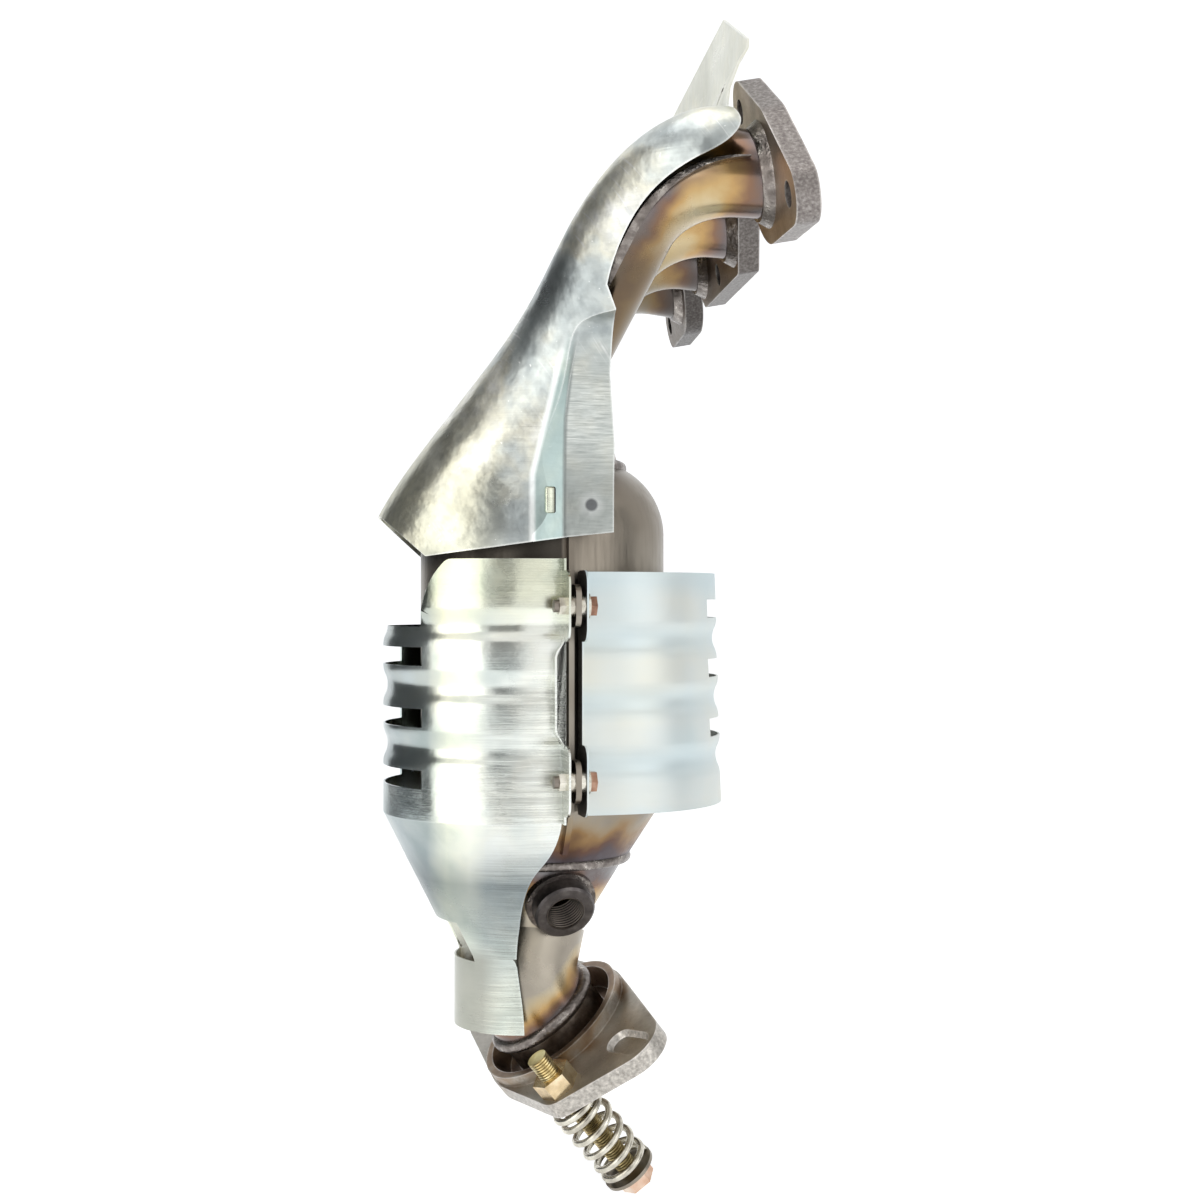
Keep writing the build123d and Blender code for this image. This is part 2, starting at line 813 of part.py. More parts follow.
def above_rim():
    """What is cut off above the front shield's rim, up to the ear at each side."""
    ear_foot, ear_middle, ear_top = front_ear_arc
    with BuildPart() as space:
        with BuildSketch(Plane.XZ):
            with BuildLine():
                ThreePointArc(ear_foot, ear_middle, ear_top)
                Polyline(
                    ear_top,
                    (ear_top[0], 0),
                    (-far, 0),
                    (-far, front_rim_z),
                    (front_ear_x, front_rim_z),
                    ear_foot,
                )
            make_face()
        extrude(amount=far, both=True)
    return space.part


def window_blocks(axis_x, sign, centres, height, half_angle):
    """Wedges that cut the slots in a shield's far wall."""
    middle = can_up.from_local_coords(Vector(axis_x, 0, 0))
    reach = 2 * shield_radius
    with BuildPart() as wedges:
        for z in centres:
            base = Plane(
                origin=middle + Vector(0, 0, z - height / 2),
                x_dir=Vector(*seam_out) * sign,
                z_dir=(0, 0, 1),
            )
            with BuildSketch(base):
                with BuildLine():
                    Polyline(
                        (0, 0),
                        (reach, -reach * tan(radians(half_angle))),
                        (reach, reach * tan(radians(half_angle))),
                        close=True,
                    )
                make_face()
            extrude(amount=height)
    return wedges.part


def skirt_form(grow):
    """Solid of the front shield's skirt, grown outwards."""
    sections = [
        (can_x + front_shield_axis, front_shield_foot, shield_radius),
        skirt_neck,
        skirt_foot_top,
        skirt_foot,
    ]
    with BuildPart() as form:
        for upper, lower in zip(sections, sections[1:]):
            for x, z, radius in (upper, lower):
                with BuildSketch(Plane(origin=(x, 0, z))):
                    Circle(radius + grow)
            loft()
    return form.part


def past_skirt_edge():
    """Everything on the fins' side of the skirt's edge."""
    with BuildPart() as space:
        with BuildSketch(can_side):
            with BuildLine():
                edge = Spline(*skirt_edge_line)
                Polyline(edge @ 1, (far, skirt_edge_line[-1][1]), (far, skirt_edge_line[0][1]), edge @ 0)
            make_face()
        extrude(amount=far, both=True)
    return space.part


front_outline = ribbed_outline(front_shield_top, front_shield_foot, front_groove_top, 0, 0)
front_inline = ribbed_outline(front_shield_top, front_shield_foot, front_groove_top, -shield_sheet, 0)
front_edge = edge_line(
    front_shield_face, -1, front_shield_top, front_shield_foot, front_edge_set_back
)
front_slots = [front_groove_top - groove_pitch * (0.5 + n) for n in range(3)]

with BuildPart() as front_heat_shield:
    add(shield_block(front_shield_axis, front_shield_face, -1, front_outline))
    add(shield_block(front_shield_axis, front_shield_face, -1, front_inline), mode=Mode.SUBTRACT)
    add(window_blocks(front_shield_axis, -1, front_slots, slot_height, front_slot_half_angle), mode=Mode.SUBTRACT)
    add(above_rim(), mode=Mode.SUBTRACT)
    add(past_edge(front_edge), mode=Mode.SUBTRACT)
    add((skirt_form(0) - skirt_form(-shield_sheet)) - past_skirt_edge())
    add(shield_flange(front_shield_face, -1, front_shield_top, front_shield_foot, front_edge_set_back))
    windows = window_blocks(
        0, -1, [sum(skirt_window_z) / 2], skirt_window_z[1] - skirt_window_z[0], skirt_window_half_angle
    )
    add(windows, mode=Mode.SUBTRACT)
front_heat_shield.part.label = "front_heat_shield"

rear_outline = ribbed_outline(rear_shield_top, rear_shield_foot, rear_groove_top, 0, rear_flare)
rear_inline = ribbed_outline(rear_shield_top, rear_shield_foot, rear_groove_top, -shield_sheet, rear_flare)
rear_slots = [rear_groove_top + groove_pitch * (0.5 - n) for n in range(3)]

with BuildPart() as rear_heat_shield:
    add(shield_block(rear_shield_axis, rear_shield_face, 1, rear_outline))
    add(shield_block(rear_shield_axis, rear_shield_face, 1, rear_inline), mode=Mode.SUBTRACT)
    add(window_blocks(rear_shield_axis, 1, rear_slots, slot_height, rear_slot_half_angle), mode=Mode.SUBTRACT)
    add(shield_flange(rear_shield_face, 1, rear_shield_top, rear_shield_foot, 0))
rear_heat_shield.part.label = "rear_heat_shield"

# Bolts through both shields and the fins, with a spacer each side of the fins
bolt_points = [(s * shield_bolt_reach, z) for s in (-1, 1) for z in shield_bolt_z]
head_face = rear_shield_face + shield_sheet + shield_washer_thickness
nut_face = front_shield_face - shield_sheet
bolt_tail = nut_face - shield_nut_height - shield_bolt_tail

with BuildPart() as shield_bolts:
    with BuildSketch(seam.offset(bolt_tail)):
        with Locations(*bolt_points):
            Circle(shield_bolt_radius)
    extrude(amount=head_face - bolt_tail)
    with BuildSketch(seam.offset(head_face)):
        with Locations(*bolt_points):
            RegularPolygon(shield_bolt_head_across / 2, 6, major_radius=False)
    extrude(amount=shield_bolt_head_height)
shield_bolts.part.label = "shield_bolts"


def bolt_rings(start, thickness, radius):
    """A ring on each shield bolt."""
    with BuildPart() as rings:
        with BuildSketch(seam.offset(start)):
            with Locations(*bolt_points):
                Circle(radius)
                Circle(shield_bolt_radius, mode=Mode.SUBTRACT)
        extrude(amount=thickness)
    return rings.part


with BuildPart() as shield_washers:
    add(bolt_rings(rear_shield_face + shield_sheet, shield_washer_thickness, shield_washer_radius))
shield_washers.part.label = "shield_washers"

with BuildPart() as shield_spacers:
    add(bolt_rings(fin_thickness, rear_shield_face - fin_thickness, shield_bolt_radius + 2))
    add(bolt_rings(front_shield_face, -front_shield_face - fin_thickness, shield_bolt_radius + 2))
shield_spacers.part.label = "shield_spacers"

with BuildPart() as shield_nuts:
    with BuildSketch(seam.offset(nut_face)):
        with Locations(*bolt_points):
            RegularPolygon(shield_nut_across / 2, 6, major_radius=False)
            Circle(shield_bolt_radius, mode=Mode.SUBTRACT)
    extrude(amount=-shield_nut_height)
shield_nuts.part.label = "shield_nuts"

# Upper heat shield: a hood lofted along the runners and trimmed to its edge
hood_sections = [
    (cover_port_x + 2, 0.0, 0.0, cover_half_width, cover_port_top, 30.0, 13.0),
    (runner_bend[0] + 6, -3.5, 18.0, 146.0, 22.0, 30.0, 17.0),
    (runner_bend[0] - 10, -19.0, 48.0, 124.0, 23.0, 30.0, 21.0),
    (-73.0, -51.0, 60.0, 93.0, 24.5, 42.0, 30.0),
    (can_x, -100.0, 84.0, 72.0, 49.0, 62.0, 44.0),
    (can_x, -150.0, 90.0, cover_foot_radius, cover_foot_radius, 90.0, 66.0),
]


def hood_form(grow):
    """The hood's outer form, grown outwards."""
    with BuildPart() as form:
        for x, z, fall, half_width, rise, drop, corner in hood_sections:
            angle = radians(fall)
            section = Plane(origin=(x, 0, z), x_dir=(0, 1, 0), z_dir=(cos(angle), 0, sin(angle)))
            height = rise + drop + grow
            with BuildSketch(section):
                with Locations((0, rise + grow - height / 2)):
                    RectangleRounded(2 * (half_width + grow), height, corner + grow)
        loft()
    return form.part


def side_recess(grow):
    """Space outside the two side strips, where the hood's sides are stepped in, grown inwards."""
    with BuildPart() as recess:
        for side in (-1, 1):
            for z, ridge_x, fold_x, ridge_y, strip_y in strip_sections:
                with BuildSketch(Plane.XY.offset(z)):
                    with BuildLine():
                        Polyline(
                            (ridge_x, side * (ridge_y - grow)),
                            (fold_x, side * (strip_y - grow)),
                            (strip_outer_x, side * (strip_y - grow)),
                            (strip_outer_x, side * far),
                            (ridge_x, side * far),
                            close=True,
                        )
                    make_face()
            loft()
    return recess.part


def hood_keep():
    """The side of the hood that stays, in side view."""
    with BuildPart() as keep:
        with BuildSketch(Plane.XZ):
            with BuildLine():
                edge = Spline(
                    (-26.0, 30.0),
                    (-24.5, 22.0),
                    (-21.5, 14.0),
                    (-27.0, 5.5),
                    (-37.0, 0.0),
                    (-54.0, -11.0),
                    (-64.5, -29.0),
                    (-67.5, -41.0),
                )
                Polyline(
                    edge @ 1,
                    (-63.5, -50.0),
                    (-64.0, -74.0),
                    (-61.0, -102.0),
                    (-61.0, -139.0),
                    (-80.0, -141.0),
                    (-112.0, -145.5),
                    (-140.0, -149.0),
                    (-160.0, -131.0),
                    (-220.0, -131.0),
                    (-220.0, 60.0),
                    (-26.0, 60.0),
                    edge @ 0,
                )
            make_face()
        extrude(amount=far, both=True)
    return keep.part


def hood_flange():
    """The sheet that stands up along the hood's port side, cut back at both corners."""
    half_length = cover_half_width - 11
    with BuildPart() as flange:
        with BuildSketch(Plane.XZ):
            with BuildLine():
                FilletPolyline(
                    (cover_port_x - 4.2, cover_port_top - 0.6),
                    (cover_port_x - 3.2, cover_port_top + 8),
                    (cover_port_x + 1.1, cover_port_top + 19.3),
                    (cover_flange_x, cover_port_top + 23.5),
                    (cover_flange_x, cover_port_top + cover_flange_height),
                    radius=3,
                )
            trace(line_width=cover_sheet)
        extrude(amount=half_length, both=True)
        with BuildSketch(Plane.YZ):
            for side in (-1, 1):
                with BuildLine():
                    Polyline(
                        (side * (half_length - cover_flange_corner), far),
                        (side * (half_length - cover_flange_corner), cover_port_top + cover_flange_height),
                        (side * half_length, cover_port_top + cover_flange_end_height),
                        (side * far, cover_port_top + cover_flange_end_height),
                        (side * far, far),
                        close=True,
                    )
                make_face()
            for side in (-1, 1):
                with Locations((side * (1.5 * port_pitch + outer_high_stud[0]), outer_high_stud[1] + 2)):
                    SlotOverall(14, 9, rotation=90)
        extrude(amount=far, both=True, mode=Mode.SUBTRACT)
    return flange.part


hood_outside = hood_form(0) - side_recess(0)
hood_inside = hood_form(-cover_sheet) - side_recess(cover_sheet)
with BuildPart() as upper_heat_shield:
    add((hood_outside - hood_inside) & hood_keep())
    add(hood_flange())
upper_heat_shield.part.label = "upper_heat_shield"

# Brackets that carry the hood's foot, one each side of the can
with BuildPart() as cover_brackets:
    with BuildSketch(Plane.YZ.offset(cover_bracket_x - cover_bracket_width / 2)):
        for side in (-1, 1):
            with BuildLine():
                Polyline(
                    (side * 20, cover_bracket_z),
                    (side * 90, cover_bracket_z),
                    (side * 90, cover_bracket_z + cover_bracket_height),
                    (side * (cover_foot_radius - cover_bracket_inset), cover_bracket_z + cover_bracket_height),
                    (side * (cover_foot_radius - cover_bracket_inset), cover_bracket_z + cover_bracket_sheet),
                    (side * 20, cover_bracket_z + cover_bracket_sheet),
                    close=True,
                )
            make_face()
    extrude(amount=cover_bracket_width)
    add(hood_inside, mode=Mode.INTERSECT)
    add(can_outside, mode=Mode.SUBTRACT)
    add(fin_sheet(-1), mode=Mode.SUBTRACT)
    add(fin_sheet(1), mode=Mode.SUBTRACT)
cover_brackets.part.label = "cover_brackets"

pieces = [
    port_flange_front,
    port_flange_centre,
    port_flange_rear,
    port_welds,
    manifold_upper_shell,
    manifold_lower_shell,
    manifold_seam_weld,
    collector_weld,
    can_front_half,
    can_rear_half,
    support_mat,
    catalyst_brick,
    cone_weld,
    outlet_pipe,
    sensor_boss,
    boss_weld,
    collar_weld,
    outlet_collar,
    outlet_flange,
    joint_seat,
    spring_bolts,
    spring_bolt_nuts,
    spring_washers,
    springs,
    front_heat_shield,
    rear_heat_shield,
    shield_bolts,
    shield_washers,
    shield_spacers,
    shield_nuts,
    upper_heat_shield,
    cover_brackets,
]
os.makedirs("parts", exist_ok=True)
for piece in pieces:
    export_step(piece.part, "parts/" + piece.part.label + ".step")
    print(piece.part.label, len(piece.part.solids()), round(piece.part.volume, 1))
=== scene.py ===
# %% [markdown]
# # An exhaust manifold with a close-coupled catalytic converter
#
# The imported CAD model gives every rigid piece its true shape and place, in metres, with the
# origin on the head face of the centre port flange, +X towards the cylinder head and +Z up.
# This scene dresses it: bright and pale heat shields, stainless sheet with heat tints,
# sawn flanges, weld beads, plated fasteners and two coil springs of round wire.

# %% Load the frame
import json

from math import cos, pi, radians, sin

import bmesh
import bpy
from mathutils import Matrix, Vector

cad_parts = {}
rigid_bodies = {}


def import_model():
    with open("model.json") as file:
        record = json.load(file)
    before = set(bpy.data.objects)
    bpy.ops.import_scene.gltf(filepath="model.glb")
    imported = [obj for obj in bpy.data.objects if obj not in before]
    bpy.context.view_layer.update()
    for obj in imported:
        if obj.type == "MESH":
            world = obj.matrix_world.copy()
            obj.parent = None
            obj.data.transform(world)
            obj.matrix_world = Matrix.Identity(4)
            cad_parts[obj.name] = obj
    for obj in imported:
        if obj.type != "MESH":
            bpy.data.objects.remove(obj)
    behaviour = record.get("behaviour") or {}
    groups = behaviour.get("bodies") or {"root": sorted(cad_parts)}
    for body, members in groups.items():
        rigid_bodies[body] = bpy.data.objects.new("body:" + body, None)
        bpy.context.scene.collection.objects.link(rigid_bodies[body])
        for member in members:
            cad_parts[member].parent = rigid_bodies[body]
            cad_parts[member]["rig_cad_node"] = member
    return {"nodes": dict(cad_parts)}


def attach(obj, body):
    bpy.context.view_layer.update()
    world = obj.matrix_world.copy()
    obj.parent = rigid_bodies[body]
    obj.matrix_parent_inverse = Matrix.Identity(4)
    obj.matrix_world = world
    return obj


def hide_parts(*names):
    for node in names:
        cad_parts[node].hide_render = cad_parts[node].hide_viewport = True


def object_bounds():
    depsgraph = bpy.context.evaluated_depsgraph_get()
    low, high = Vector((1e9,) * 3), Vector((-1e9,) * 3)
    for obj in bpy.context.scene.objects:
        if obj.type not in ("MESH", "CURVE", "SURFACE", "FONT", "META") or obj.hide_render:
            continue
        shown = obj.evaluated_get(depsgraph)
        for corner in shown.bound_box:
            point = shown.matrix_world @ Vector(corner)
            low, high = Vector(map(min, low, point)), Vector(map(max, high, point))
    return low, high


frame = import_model()
cad_low, cad_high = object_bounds()
nodes = frame["nodes"]
bpy.ops.object.select_all(action="DESELECT")
print("nodes:", len(nodes), "lowest point:", round(cad_low[2], 4), "highest:", round(cad_high[2], 4))

# %% [markdown]
# ## Camera
#
# The photograph was taken level with the middle of the can, from a little under a metre
# away, so that the near port flange looks larger than the far one. A long lens with no
# shift gives that. The camera stands in front of the near end and turns a few degrees
# towards the engine side.

# %% Camera
camera_place = (-0.1405, -0.8287, -0.1675)
camera_turn = radians(-5.5)
bpy.ops.object.camera_add(location=camera_place, rotation=(radians(90), 0, camera_turn))
camera = bpy.context.object
camera.name = "camera"
camera.data.sensor_width = 36
camera.data.lens = 54.8
bpy.context.scene.camera = camera
bpy.context.scene.view_settings.view_transform = "Standard"
print("camera at", tuple(round(v, 3) for v in camera.location))

# %% [markdown]
# ## Studio
#
# Bright metal is mostly a picture of the room. The room here is a white tent with soft
# lamps on the left, on the right and above. A pale floor runs up into a wall behind. Grey
# cards stand out of view, as a product photographer sets them, so that the sheet metal
# has dark edges to show. The camera itself can't see the cards.

# %% World: white to the camera and in reflections, dimmer as a light


def seen_mask(tree):
    """1 for what the camera or a reflection sees, and 0 for light that falls on things."""
    rays = tree.nodes.new("ShaderNodeLightPath")
    either = tree.nodes.new("ShaderNodeMath")
    either.operation = "MAXIMUM"
    tree.links.new(rays.outputs["Is Camera Ray"], either.inputs[0])
    tree.links.new(rays.outputs["Is Glossy Ray"], either.inputs[1])
    return either.outputs[0]


world = bpy.data.worlds.new("white tent")
bpy.context.scene.world = world
world.use_nodes = True
wn, wl = world.node_tree.nodes, world.node_tree.links
for node in list(wn):
    wn.remove(node)
tent = wn.new("ShaderNodeBackground")
tent.inputs["Color"].default_value = (1, 1, 1, 1)
fill = wn.new("ShaderNodeBackground")
fill.inputs["Color"].default_value = (0.94, 0.97, 1, 1)
fill.inputs["Strength"].default_value = 0.6
choose = wn.new("ShaderNodeMixShader")
wl.new(seen_mask(world.node_tree), choose.inputs["Fac"])
wl.new(fill.outputs[0], choose.inputs[1])
wl.new(tent.outputs[0], choose.inputs[2])
wout = wn.new("ShaderNodeOutputWorld")
wl.new(choose.outputs[0], wout.inputs["Surface"])
print("world:", world.name)

# %% Floor and wall in one sweep
sweep_size, wall_height, bend_radius = 6, 3, 1.2
back_edge = 2.9
floor_gap = 0.012
bpy.ops.mesh.primitive_plane_add(size=sweep_size, location=(0, 0, cad_low[2] - floor_gap))
sweep = bpy.context.object
sweep.name = "floor"
bpy.ops.object.mode_set(mode="EDIT")
bpy.ops.mesh.select_all(action="DESELECT")
shape = bmesh.from_edit_mesh(sweep.data)
for edge in shape.edges:
    edge.select = all(v.co.y > back_edge for v in edge.verts)
shape.select_flush_mode()
bmesh.update_edit_mesh(sweep.data)
bpy.ops.mesh.extrude_region_move(TRANSFORM_OT_translate={"value": (0, 0, wall_height)})
bpy.ops.mesh.select_all(action="DESELECT")
shape = bmesh.from_edit_mesh(sweep.data)
for edge in shape.edges:
    edge.select = all(v.co.y > back_edge and abs(v.co.z) < 0.01 for v in edge.verts)
bmesh.update_edit_mesh(sweep.data)
bpy.ops.mesh.bevel(offset=bend_radius, segments=12)
bpy.ops.object.mode_set(mode="OBJECT")
bpy.ops.object.shade_smooth()

# The paper glows to the camera and in reflections, as an evenly lit sweep does.
paper_glow = 0.6
paper = bpy.data.materials.new("pale paper")
paper.use_nodes = True
pn, pl = paper.node_tree.nodes, paper.node_tree.links
pn["Principled BSDF"].inputs["Base Color"].default_value = (0.93, 0.93, 0.93, 1)
pn["Principled BSDF"].inputs["Roughness"].default_value = 0.9
pn["Principled BSDF"].inputs["Specular IOR Level"].default_value = 0.1
glow = pn.new("ShaderNodeEmission")
strength = pn.new("ShaderNodeMath")
strength.operation = "MULTIPLY"
strength.inputs[1].default_value = paper_glow
pl.new(seen_mask(paper.node_tree), strength.inputs[0])
pl.new(strength.outputs[0], glow.inputs["Strength"])
both = pn.new("ShaderNodeAddShader")
pl.new(pn["Principled BSDF"].outputs[0], both.inputs[0])
pl.new(glow.outputs[0], both.inputs[1])
pl.new(both.outputs[0], pn["Material Output"].inputs["Surface"])
sweep.data.materials.append(paper)
print("floor at", round(sweep.location.z, 4))

# %% Lamps
middle = Vector([(low + high) / 2 for low, high in zip(cad_low, cad_high)])


def softbox(name, place, size, power, tint):
    """A square lamp that faces the middle of the object."""
    bpy.ops.object.light_add(type="AREA", location=place)
    lamp = bpy.context.object
    lamp.name = name
    lamp.data.size = size
    lamp.data.energy = power
    lamp.data.color = tint
    lamp.rotation_euler = (middle - Vector(place)).to_track_quat("-Z", "Y").to_euler()


softbox("lamp_left", (-1.45, -0.95, -0.1), 1.4, 6.6, (1.0, 0.99, 0.95))
softbox("lamp_right", (1.3, -1.2, 0.3), 1.4, 5.6, (0.96, 0.98, 1.0))
softbox("lamp_above", (-0.5, -0.3, 1.4), 1.4, 6.4, (1.0, 1.0, 1.0))
print("lamps: 3")

# %% Grey cards


def card(name, place, width, height, grey):
    """A flat grey card that faces the object from outside the view."""
    bpy.ops.mesh.primitive_plane_add(size=1, location=place)
    flag = bpy.context.object
    flag.name = name
    flag.scale = (width, height, 1)
    flag.rotation_euler = (middle - Vector(place)).to_track_quat("Z", "Y").to_euler()
    matt = bpy.data.materials.new(name + " card")
    matt.use_nodes = True
    matt.node_tree.nodes["Principled BSDF"].inputs["Base Color"].default_value = (grey, grey, grey, 1)
    matt.node_tree.nodes["Principled BSDF"].inputs["Roughness"].default_value = 1.0
    flag.data.materials.append(matt)
    flag.visible_camera = False


card("card_left", (-1.35, 0.5, -0.1), 1.7, 2.0, 0.14)
card("card_front", (-0.5, -1.75, -0.2), 0.7, 1.8, 0.34)
card("card_right", (1.4, -0.35, -0.1), 0.6, 1.6, 0.3)
print("cards: 3")

# %% [markdown]
# ## Effects shared by the finishes
#
# Rolled sheet, weld beads and heat stains turn up on many pieces. Each is a node group
# with its own inputs, made once and placed in each material with that piece's values.
# All of them read Object coordinates, which are the frame's metres, so a size in a group
# is a real size.

# %% Helpers for node groups


def new_group(name, inputs, outputs):
    """An empty shader node group with named sockets."""
    group = bpy.data.node_groups.new(name, "ShaderNodeTree")
    for label, kind, value in inputs:
        socket = group.interface.new_socket(label, in_out="INPUT", socket_type=kind)
        if value is not None:
            socket.default_value = value
    for label, kind in outputs:
        group.interface.new_socket(label, in_out="OUTPUT", socket_type=kind)
    start = group.nodes.new("NodeGroupInput")
    end = group.nodes.new("NodeGroupOutput")
    return group, start, end


def ramp(tree, source, stops):
    """A colour ramp on a value, from (place, colour) stops."""
    band = tree.nodes.new("ShaderNodeValToRGB")
    while len(band.color_ramp.elements) < len(stops):
        band.color_ramp.elements.new(0.5)
    for element, (place, colour) in zip(band.color_ramp.elements, stops):
        element.position = place
        element.color = (*colour, 1)
    tree.links.new(source, band.inputs["Fac"])
    return band.outputs["Color"]


def mixed(tree, factor, first, second, blend="MIX"):
    """Two colours mixed by a factor. Each may be a socket or a value."""
    mix = tree.nodes.new("ShaderNodeMix")
    mix.data_type = "RGBA"
    mix.blend_type = blend
    for value, socket in ((factor, mix.inputs[0]), (first, mix.inputs[6]), (second, mix.inputs[7])):
        if isinstance(value, bpy.types.NodeSocket):
            tree.links.new(value, socket)
        elif isinstance(value, (int, float)):
            socket.default_value = value
        else:
            socket.default_value = (*value, 1)
    return mix.outputs[2]


def mapped(tree, source, low, high, new_low, new_high):
    """A value stretched from one range to another and clamped."""
    change = tree.nodes.new("ShaderNodeMapRange")
    change.inputs["From Min"].default_value = low
    change.inputs["From Max"].default_value = high
    change.inputs["To Min"].default_value = new_low
    change.inputs["To Max"].default_value = new_high
    tree.links.new(source, change.inputs["Value"])
    return change.outputs["Result"]


def maths(tree, operation, first, second=None):
    """One math node. Each input may be a socket or a number."""
    node = tree.nodes.new("ShaderNodeMath")
    node.operation = operation
    for index, value in enumerate((first, second)):
        if value is None:
            continue
        if isinstance(value, bpy.types.NodeSocket):
            tree.links.new(value, node.inputs[index])
        else:
            node.inputs[index].default_value = value
    return node.outputs[0]


def vector_maths(tree, operation, first, second=None):
    """One vector math node. The second input may be a socket or a vector."""
    node = tree.nodes.new("ShaderNodeVectorMath")
    node.operation = operation
    tree.links.new(first, node.inputs[0])
    if isinstance(second, bpy.types.NodeSocket):
        tree.links.new(second, node.inputs[1])
    elif second is not None:
        node.inputs[1].default_value = tuple(second)
    gives_number = operation in ("DOT_PRODUCT", "DISTANCE", "LENGTH")
    return node.outputs["Value" if gives_number else "Vector"]


def noise(tree, vector, scale, detail=2.0, roughness=0.5):
    """A noise texture's value. The scale may be a socket or a number."""
    node = tree.nodes.new("ShaderNodeTexNoise")
    node.inputs["Detail"].default_value = detail
    node.inputs["Roughness"].default_value = roughness
    if isinstance(scale, bpy.types.NodeSocket):
        tree.links.new(scale, node.inputs["Scale"])
    else:
        node.inputs["Scale"].default_value = scale
    tree.links.new(vector, node.inputs["Vector"])
    return node.outputs["Fac"]


# %% Brushed streaks
streaks, s_in, s_out = new_group(
    "brushed streaks",
    [
        ("Vector", "NodeSocketVector", None),
        ("Stretch", "NodeSocketVector", (30.0, 30.0, 900.0)),
        ("Depth", "NodeSocketFloat", 0.5),
    ],
    [("Mask", "NodeSocketFloat"), ("Height", "NodeSocketFloat")],
)
pulled = vector_maths(streaks, "MULTIPLY", s_in.outputs["Vector"], s_in.outputs["Stretch"])
fine = noise(streaks, pulled, 1.0, 4.0, 0.65)
patch = noise(streaks, s_in.outputs["Vector"], 22.0)
where = mapped(streaks, patch, 0.42, 0.62, 0.15, 1.0)
mask = maths(streaks, "MULTIPLY", mapped(streaks, fine, 0.35, 0.7, 0, 1), where)
streaks.links.new(mask, s_out.inputs["Mask"])
streaks.links.new(maths(streaks, "MULTIPLY", mask, s_in.outputs["Depth"]), s_out.inputs["Height"])
print("group:", streaks.name)

# %% Heat tint
# Stainless sheet goes straw, brown, purple and blue as it nears a weld.
tint_group, t_in, t_out = new_group(
    "heat tint",
    [
        ("Vector", "NodeSocketVector", None),
        ("Distance", "NodeSocketFloat", 0.0),
        ("Reach", "NodeSocketFloat", 0.03),
        ("Unevenness", "NodeSocketFloat", 0.006),
    ],
    [("Color", "NodeSocketColor"), ("Mask", "NodeSocketFloat")],
)
cloud = noise(tint_group, t_in.outputs["Vector"], 60.0, 3.0)
either_way = mapped(tint_group, cloud, 0.3, 0.7, -1, 1)
wander = maths(tint_group, "MULTIPLY", either_way, t_in.outputs["Unevenness"])
gap = maths(tint_group, "ADD", maths(tint_group, "ABSOLUTE", t_in.outputs["Distance"]), wander)
share = maths(tint_group, "DIVIDE", gap, t_in.outputs["Reach"])
tint = ramp(
    tint_group,
    share,
    [
        (0.0, (0.20, 0.19, 0.19)),
        (0.16, (0.16, 0.13, 0.125)),
        (0.32, (0.22, 0.13, 0.085)),
        (0.52, (0.44, 0.28, 0.12)),
        (1.0, (0.66, 0.54, 0.29)),
    ],
)
tint_group.links.new(tint, t_out.inputs["Color"])
tint_group.links.new(mapped(tint_group, share, 0.55, 1.0, 1, 0), t_out.inputs["Mask"])
print("group:", tint_group.name)

# %% Grain
grain, g_in, g_out = new_group(
    "grain",
    [
        ("Vector", "NodeSocketVector", None),
        ("Coarse", "NodeSocketFloat", 260.0),
        ("Fine", "NodeSocketFloat", 1500.0),
    ],
    [("Value", "NodeSocketFloat"), ("Height", "NodeSocketFloat")],
)
lumps = noise(grain, g_in.outputs["Vector"], g_in.outputs["Coarse"], 5.0, 0.6)
specks = noise(grain, g_in.outputs["Vector"], g_in.outputs["Fine"])
grain.links.new(mapped(grain, lumps, 0.3, 0.7, 0, 1), g_out.inputs["Value"])
sum_height = maths(grain, "ADD", lumps, maths(grain, "MULTIPLY", specks, 0.4))
grain.links.new(sum_height, g_out.inputs["Height"])
print("group:", grain.name)

# %% Scratches
scratches, c_in, c_out = new_group(
    "scratches",
    [
        ("Vector", "NodeSocketVector", None),
        ("Turn", "NodeSocketVector", (0.0, 0.6, 0.0)),
        ("Amount", "NodeSocketFloat", 0.5),
    ],
    [("Mask", "NodeSocketFloat")],
)
spun = scratches.nodes.new("ShaderNodeVectorRotate")
spun.rotation_type = "EULER_XYZ"
scratches.links.new(c_in.outputs["Vector"], spun.inputs["Vector"])
scratches.links.new(c_in.outputs["Turn"], spun.inputs["Rotation"])
thin = vector_maths(scratches, "MULTIPLY", spun.outputs[0], (1400, 60, 24))
lines = noise(scratches, thin, 1.0, 1.0)
zone = noise(scratches, c_in.outputs["Vector"], 38.0)
cut = maths(
    scratches,
    "MULTIPLY",
    mapped(scratches, lines, 0.62, 0.70, 0, 1),
    mapped(scratches, zone, 0.48, 0.62, 0, 1),
)
scratches.links.new(maths(scratches, "MULTIPLY", cut, c_in.outputs["Amount"]), c_out.inputs["Mask"])
print("group:", scratches.name)

# %% Thread
thread, h_in, h_out = new_group(
    "thread",
    [
        ("Vector", "NodeSocketVector", None),
        ("Direction", "NodeSocketVector", (0, 0, 1)),
        ("Pitch", "NodeSocketFloat", 0.00125),
    ],
    [("Height", "NodeSocketFloat")],
)
run = vector_maths(thread, "DOT_PRODUCT", h_in.outputs["Vector"], h_in.outputs["Direction"])
turns = maths(thread, "DIVIDE", run, h_in.outputs["Pitch"])
thread.links.new(maths(thread, "PINGPONG", turns, 0.5), h_out.inputs["Height"])
print("group:", thread.name)
